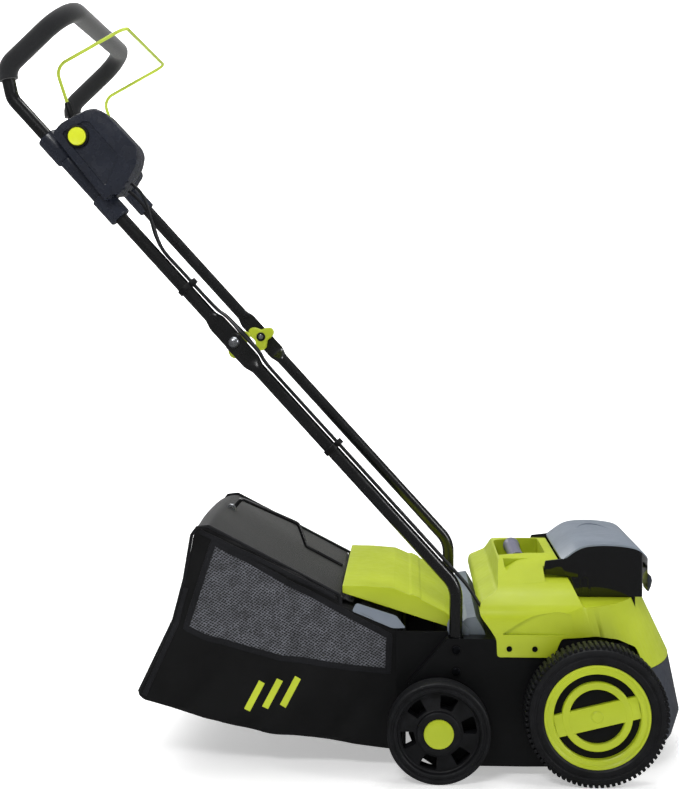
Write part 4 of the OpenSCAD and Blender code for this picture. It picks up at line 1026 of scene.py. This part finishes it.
def lid_plan(inset):
    """Lid outline seen from above: straight sides and a curved nose."""
    half, radius = LID_HALF - inset, 325 - inset
    reach = math.asin(half / radius)
    nose = [(125 + radius * math.cos(reach * (2 * k / 24 - 1)), radius * math.sin(reach * (2 * k / 24 - 1)))
            for k in range(25)]
    return [(280 + inset, -half)] + nose + [(280 + inset, half)]


LID_LINE = [(308.5, 296), (334, 314), (357, 319), (388, 319), (418, 314), (434, 301), (450, 281)]


def curve_through(points, steps=5):
    """Smooth line through points in the X-Z plane."""
    return [tuple(p) for p in smooth_line([Vector(p) for p in points], steps)]


def add_lid():
    """Glossy black battery lid with arms to its hinge, under a grey-blue skin with a shallow dish."""
    skin = 2.5
    top = curve_through(LID_LINE)
    under = [(x, z - skin) for x, z in top]
    shell = plate(under + [(450, 242), (331.5, 242)], -LID_HALF, LID_HALF)
    shell = crossed(shell, standing(lid_plan(0), 200, 340))
    soften(shell, 1.6, 3, 35)
    hollow = plate([(300, 200), (300, 280), (313, 291), (336, 306), (357, 311), (388, 311), (416, 306),
                    (431, 294), (444, 276), (444, 200)], -LID_HALF + 5.5, LID_HALF - 5.5)
    shell = cut_by(shell, hollow)
    for sign in (-1, 1):
        arm = plate(round_outline([(281, 274), (333, 270), (335, 306), (309.8, 297), (284, 294)], 2),
                    *between(sign, LID_HALF - 5.5, LID_HALF + 0.3))
        merge(shell, soften(arm, 0.8, 2, 50))
        hub_in, hub_out = sign * (LID_HALF - 5.4), sign * (LID_HALF - 0.2)
        merge(shell, rod((LID[0], hub_in, LID[1]), (LID[0], hub_out, LID[1]), 9, 0.8, 48))
        rib = [(334, 246), (338, 246), (339.5, 268), (343, 271), (346.5, 268), (347.5, 246), (351, 246),
               (350.5, 272), (346, 277), (340, 277), (335.5, 272)]
        merge(shell, soften(plate(rib, *between(sign, LID_HALF - 1, LID_HALF + 1)), 0.4, 1, 40))
    piece("lid_shell", shell, "lid", [GLOSS], ["battery_lid"], sharp=35)
    cover = plate(top + under[::-1], -LID_HALF, LID_HALF)
    cover = soften(crossed(cover, standing(lid_plan(0), 200, 340)), 0.8, 2, 40)
    dish = lathe([(0.01, -0.5), (0.01, 0.5), (1, 0.5), (1, -0.5), (0.01, -0.5)], (0, 0), 64)
    bmesh.ops.rotate(dish, cent=(0, 0, 0), matrix=Matrix.Rotation(math.pi / 2, 3, "X"), verts=dish.verts)
    bmesh.ops.scale(dish, vec=(27, 84, 6), verts=dish.verts)
    bmesh.ops.translate(dish, vec=(373, 0, 321), verts=dish.verts)
    piece("lid_top_skin", cut_by(cover, outward(dish)), "lid", [GREY], ["lid_panel"], sharp=38)


def add_latch():
    """Finger latch on the front of the lid with a black pad."""
    x, z = LATCH[0] - 1.5, LATCH[1]
    profile = [(x, z + 1.2), (x + 2, z + 1.6), (x + 5.5, z - 3), (x + 8, z - 8), (x + 6, z - 17),
               (x + 3, z - 25), (x, z - 25)]
    bm = soften(plate(profile, -20, 20), 0.9, 2, 25)
    piece("lid_catch", bm, "latch", [GUARD], ["lid_latch"])
    pad = [(x + 5, z - 1), (x + 8, z - 4), (x + 8.6, z - 9), (x + 6.5, z - 14), (x + 4, z - 10)]
    piece("lid_catch_pad", soften(plate(pad, -11, 11), 0.5, 2, 25), "latch", [BLACK])


# ---------------------------------------------------------------- flap

FLAP_HALF = 180


def add_flap():
    """Lime rear flap: moulded cover with a wedge-shaped recess and a rib, open underneath."""
    outline = [(-12, 255), (-12, 266), (24, 265.6), (62, 262.6), (84, 253), (88, 254), (100, 248.4),
               (102, 245.4), (134, 230), (148, 219), (141, 212), (143, 206)]
    bm = soften(plate(outline, -FLAP_HALF, FLAP_HALF), 1.4, 3, 22)
    hollow = [(-9, 200), (-9, 262.8), (24, 262), (61, 256), (130, 226.5), (138, 214), (138, 192)]
    bm = cut_by(bm, plate(hollow, -FLAP_HALF + 3, FLAP_HALF - 3))
    thick = plate([(2, 262), (64, 259.8), (66, 250.6), (10, 259)], -98, 98)
    merge(bm, thick)
    bm = cut_by(bm, plate([(8, 266), (8, 264.6), (61, 253.4), (61, 280), (8, 280)], -92, 92, 0.8, 2))
    bm = cut_by(bm, block((60, -93, 255), (63.4, -86, 259.4)))
    merge(bm, rod((FLAP[0], -FLAP_HALF, FLAP[1]), (FLAP[0], FLAP_HALF, FLAP[1]), 7, 1, 48))
    piece("flap_cover", bm, "flap", [LIME], ["rear_flap"], sharp=38)


# ---------------------------------------------------------------- collection bag

BAG_HALF = 186
BAG_SIDE = [(74, 26), (74, 208), (-16, 240), (-18, 252), (-206, 350), (-222, 348), (-229, 338), (-240, 274),
            (-256, 214), (-310, 106), (-301, 96), (-231, 75), (-127, 50), (-28, 40)]
WINDOW = [(-198, 329), (56, 194), (54, 142), (-100, 161), (-204, 188), (-238, 204)]
TOP_SEAM = [(-218, 344), (-211, 340), (-75, 277), (10, 234), (69, 206)]


def inside(outline, x, z):
    """Whether a point lies inside a closed outline."""
    hits = 0
    for (x0, z0), (x1, z1) in zip(outline, outline[1:] + outline[:1]):
        if (z0 > z) != (z1 > z) and x < x0 + (z - z0) * (x1 - x0) / (z1 - z0):
            hits += 1
    return hits % 2 == 1


def fold(x, z, seed):
    """Height of the cloth's standing folds: long waves that run down and forward from the top seam."""
    along = 0.86 * x - 0.5 * z + 14 * math.sin(z / 37 + seed)
    wave = math.sin(along / 17 + seed) + 0.5 * math.sin(along / 8.3 + 2.1 * seed + z / 60)
    return wave + 0.6 * math.sin(x / 43 - z / 29 + seed)


def swell(share):
    """Half a wave from one end of the cloth to the other, nothing beyond them."""
    return math.sin(math.pi * min(max(share, 0), 1))


def bag_body():
    """Sewn bag as a closed skin, gridded finely enough to fold, pushed out and creased."""
    bm = plate(round_outline(BAG_SIDE, 5, 3), -BAG_HALF, BAG_HALF)
    for y in (-BAG_HALF, BAG_HALF):
        rims(bm, y, 4, 3)
    for axis, low, high, step in ((0, -306, 72, 7), (1, -182, 182, 9), (2, 30, 346, 7)):
        normal = [0, 0, 0]
        normal[axis] = 1
        for k in range(int((high - low) / step) + 1):
            place = [0, 0, 0]
            place[axis] = low + k * step
            everything = bm.verts[:] + bm.edges[:] + bm.faces[:]
            bmesh.ops.bisect_plane(bm, geom=everything, plane_co=place, plane_no=normal)
    moves = []
    bm.normal_update()
    for vert in bm.verts:
        x, y, z = vert.co
        free = min(max((60 - x) / 60, 0), 1)
        n = vert.normal
        side = abs(n.y) ** 2
        middle = swell((x + 300) / 374) * swell((z - 26) / 320)
        height = 3.5 * middle * side + 2.5 * fold(x, z, 0.7 if y < 0 else 2.6) * side
        across = math.cos(math.pi * y / (2 * BAG_HALF))
        height += (1 - side) * max(n.z, 0) * 8 * across
        ripple = math.sin(y / 31 + x / 47) * math.sin(z / 33 + 1)
        height += (1 - side) * 1.8 * ripple * (1 if n.z < 0.5 else 0.3)
        moves.append((vert, n * height * free))
    for vert, move in moves:
        vert.co += move
    return bm


def tape(bm_tree, line, sign, width, lift, closed=False):
    """Flat strip laid on the bag's side along a line of (x, z)."""
    points = [Vector(p) for p in line]
    if closed:
        points.append(points[0])
    points = evenly(points, 5)
    bm = bmesh.new()
    rows = []
    last = len(points) - 1
    for i, point in enumerate(points):
        before, after = points[max(i - 1, 0)], points[min(i + 1, last)]
        if closed and i in (0, last):
            before, after = points[last - 1], points[1]
        along = (after - before).normalized()
        across = Vector((-along.y, along.x))
        row = []
        for share, height in ((-1, -0.6), (-0.94, lift * 0.8), (0, lift), (0.94, lift * 0.8), (1, -0.6)):
            place = point + across * share * width / 2
            hit = bm_tree.ray_cast(Vector((place.x, sign * 400, place.y)), Vector((0, -sign, 0)))[0]
            y = hit.y if hit else sign * (BAG_HALF - 4)
            row.append(bm.verts.new((place.x, y + sign * height, place.y)))
        rows.append(row)
    for low, high in zip(rows, rows[1:]):
        for k in range(4):
            bm.faces.new((low[k], low[k + 1], high[k + 1], high[k]))
    outward(bm)
    middle = bm.faces[:][len(bm.faces) // 2]
    if middle.normal.y * sign < 0:
        bmesh.ops.reverse_faces(bm, faces=bm.faces)
    return bm


def add_bag():
    """Sewn collection bag: woven top and skirt, knitted windows in its sides, bound seams, printed accent."""
    bm = bag_body()
    box_uv(bm)
    for face in bm.faces:
        c = face.calc_center_median()
        face.material_index = 1 if abs(face.normal.y) > 0.6 and inside(WINDOW, c.x, c.z) else 0
    tree = BVHTree.FromBMesh(bm)
    piece("bag_cloth_body", bm, "bag", [CLOTH, KNIT], ["bag_fabric"], sharp=60)
    trim = bmesh.new()
    accent = bmesh.new()
    for sign in (-1, 1):
        merge(trim, tape(tree, WINDOW, sign, 9, 1.0, closed=True))
        merge(trim, tape(tree, TOP_SEAM, sign, 7, 1.8))
        merge(trim, tape(tree, [(-300, 104), (-252, 210), (-238, 262)], sign, 7, 1.4))
        for k in range(3):
            x = -150 + 26 * k
            merge(accent, tape(tree, [(x, 84 + 3 * k), (x + 22, 126 + 3 * k)], sign, 10, 0.35))
        edge = [(-14, 238), (-16, 253), (-205, 351), (-222, 349), (-230, 338), (-241, 274), (-257, 214),
                (-308, 108)]
        merge(trim, sweep(evenly([Vector((x, sign * (BAG_HALF - 2.5), z)) for x, z in edge], 8), 2.6, 10))
    box_uv(trim)
    box_uv(accent)
    piece("bag_binding", trim, "bag", [TAPE])
    piece("bag_print", accent, "bag", [PRINT])


def add_bag_frame():
    """Moulded rim at the bag's mouth, grey hooks that hang on the deck, and the wire carrying loop."""
    rim = block((74, -BAG_HALF, 26), (80, BAG_HALF, 206), 2, 2)
    rim = cut_by(rim, block((60, -BAG_HALF + 12, 42), (95, BAG_HALF - 12, 196), 3, 3))
    piece("bag_rim", rim, "bag", [BLACK], ["bag_frame"])
    wire = [(-190, 0, 353), (-178, 0, 367), (-89, 0, 328), (-76, 0, 292), (-20, 0, 262)]
    bm = sweep(rounded(wire, [6, 12, 12], 8), 3, 24)
    piece("bag_carry_wire", bm, "bag", [TUBE])
    rivet = lathe([(3, -5), (6.4, -5), (7, -4.2), (7, 4.2), (6.4, 5), (3, 5), (3, -5)], (-194, 352), 40)
    piece("bag_wire_rivet", rivet, "bag", [ZINC])
    hooks = bmesh.new()
    for sign in (-1, 1):
        outline = round_outline([(8, 242), (66, 224), (80, 206), (60, 206), (2, 230)], 4)
        merge(hooks, soften(plate(outline, *between(sign, BAG_HALF, BAG_HALF + 3)), 0.7, 2, 40))
    piece("bag_hooks", hooks, "bag", [GREY])


# ---------------------------------------------------------------- fasteners and parts kept from the frame

def add_deck_bolts():
    """Bolts that hold the lower tubes, with domed heads outside."""
    bm = bmesh.new()
    for sign in (-1, 1):
        for z in (150, 181):
            merge(bm, rod((FOOT_X, sign * 213, z), (FOOT_X, sign * 217, z), 6, 1.2, 32))
            merge(bm, rod((FOOT_X, sign * 186.5, z), (FOOT_X, sign * 213, z), 3, 0.2, 20))
    piece("tube_bolts", bm, "root", [DARK_STEEL], ["lower_handle_bolts"])


def paint_frame():
    """Finishes for the nodes that stay as the frame has them."""
    paint_node(BLACK, "deck_shell", "battery_bay", "belt_cover", "tine_holders", "drive_belt", "micro_switch")
    paint_node(GREY, "deck_plate")
    paint_node(BATTERY, "battery_right", "battery_left")
    paint_node(MOTOR, "drive_motor", "rotor_pulley", "motor_pulley")
    paint_node(ZINC, "motor_shaft", "rotor_shaft", "rotor_bearings", "rear_axles", "front_axle", "flap_pin")
    paint_node(DARK_STEEL, "hood_screws")
    paint_node(SPRING, "spring_tines")
    paint_node(SLATE, "depth_lever", "controller_board")


# ---------------------------------------------------------------- the whole machine

add_camera()
add_lead("lead_a", LEAD_A, ["cable_upper", "cable_joint", "cable_lower"])
add_lead("lead_b", LEAD_B, [])
add_studio()
paint_frame()
for clip, (s, body) in CLIPS.items():
    add_clip(clip, s, body)
add_upper_handle()
add_grip()
add_bail()
add_switch_box()
add_bail_bracket()
add_hood()
add_front_guard()
add_carry_handle()
add_lid()
add_latch()
add_flap()
add_bag()
add_bag_frame()
add_deck_bolts()
for side, sign in SIDES.items():
    add_lower_handle(side, sign)
    add_fold_joint(side, sign)
    add_front_wheel(side, sign)
    add_rear_wheel(side, sign)
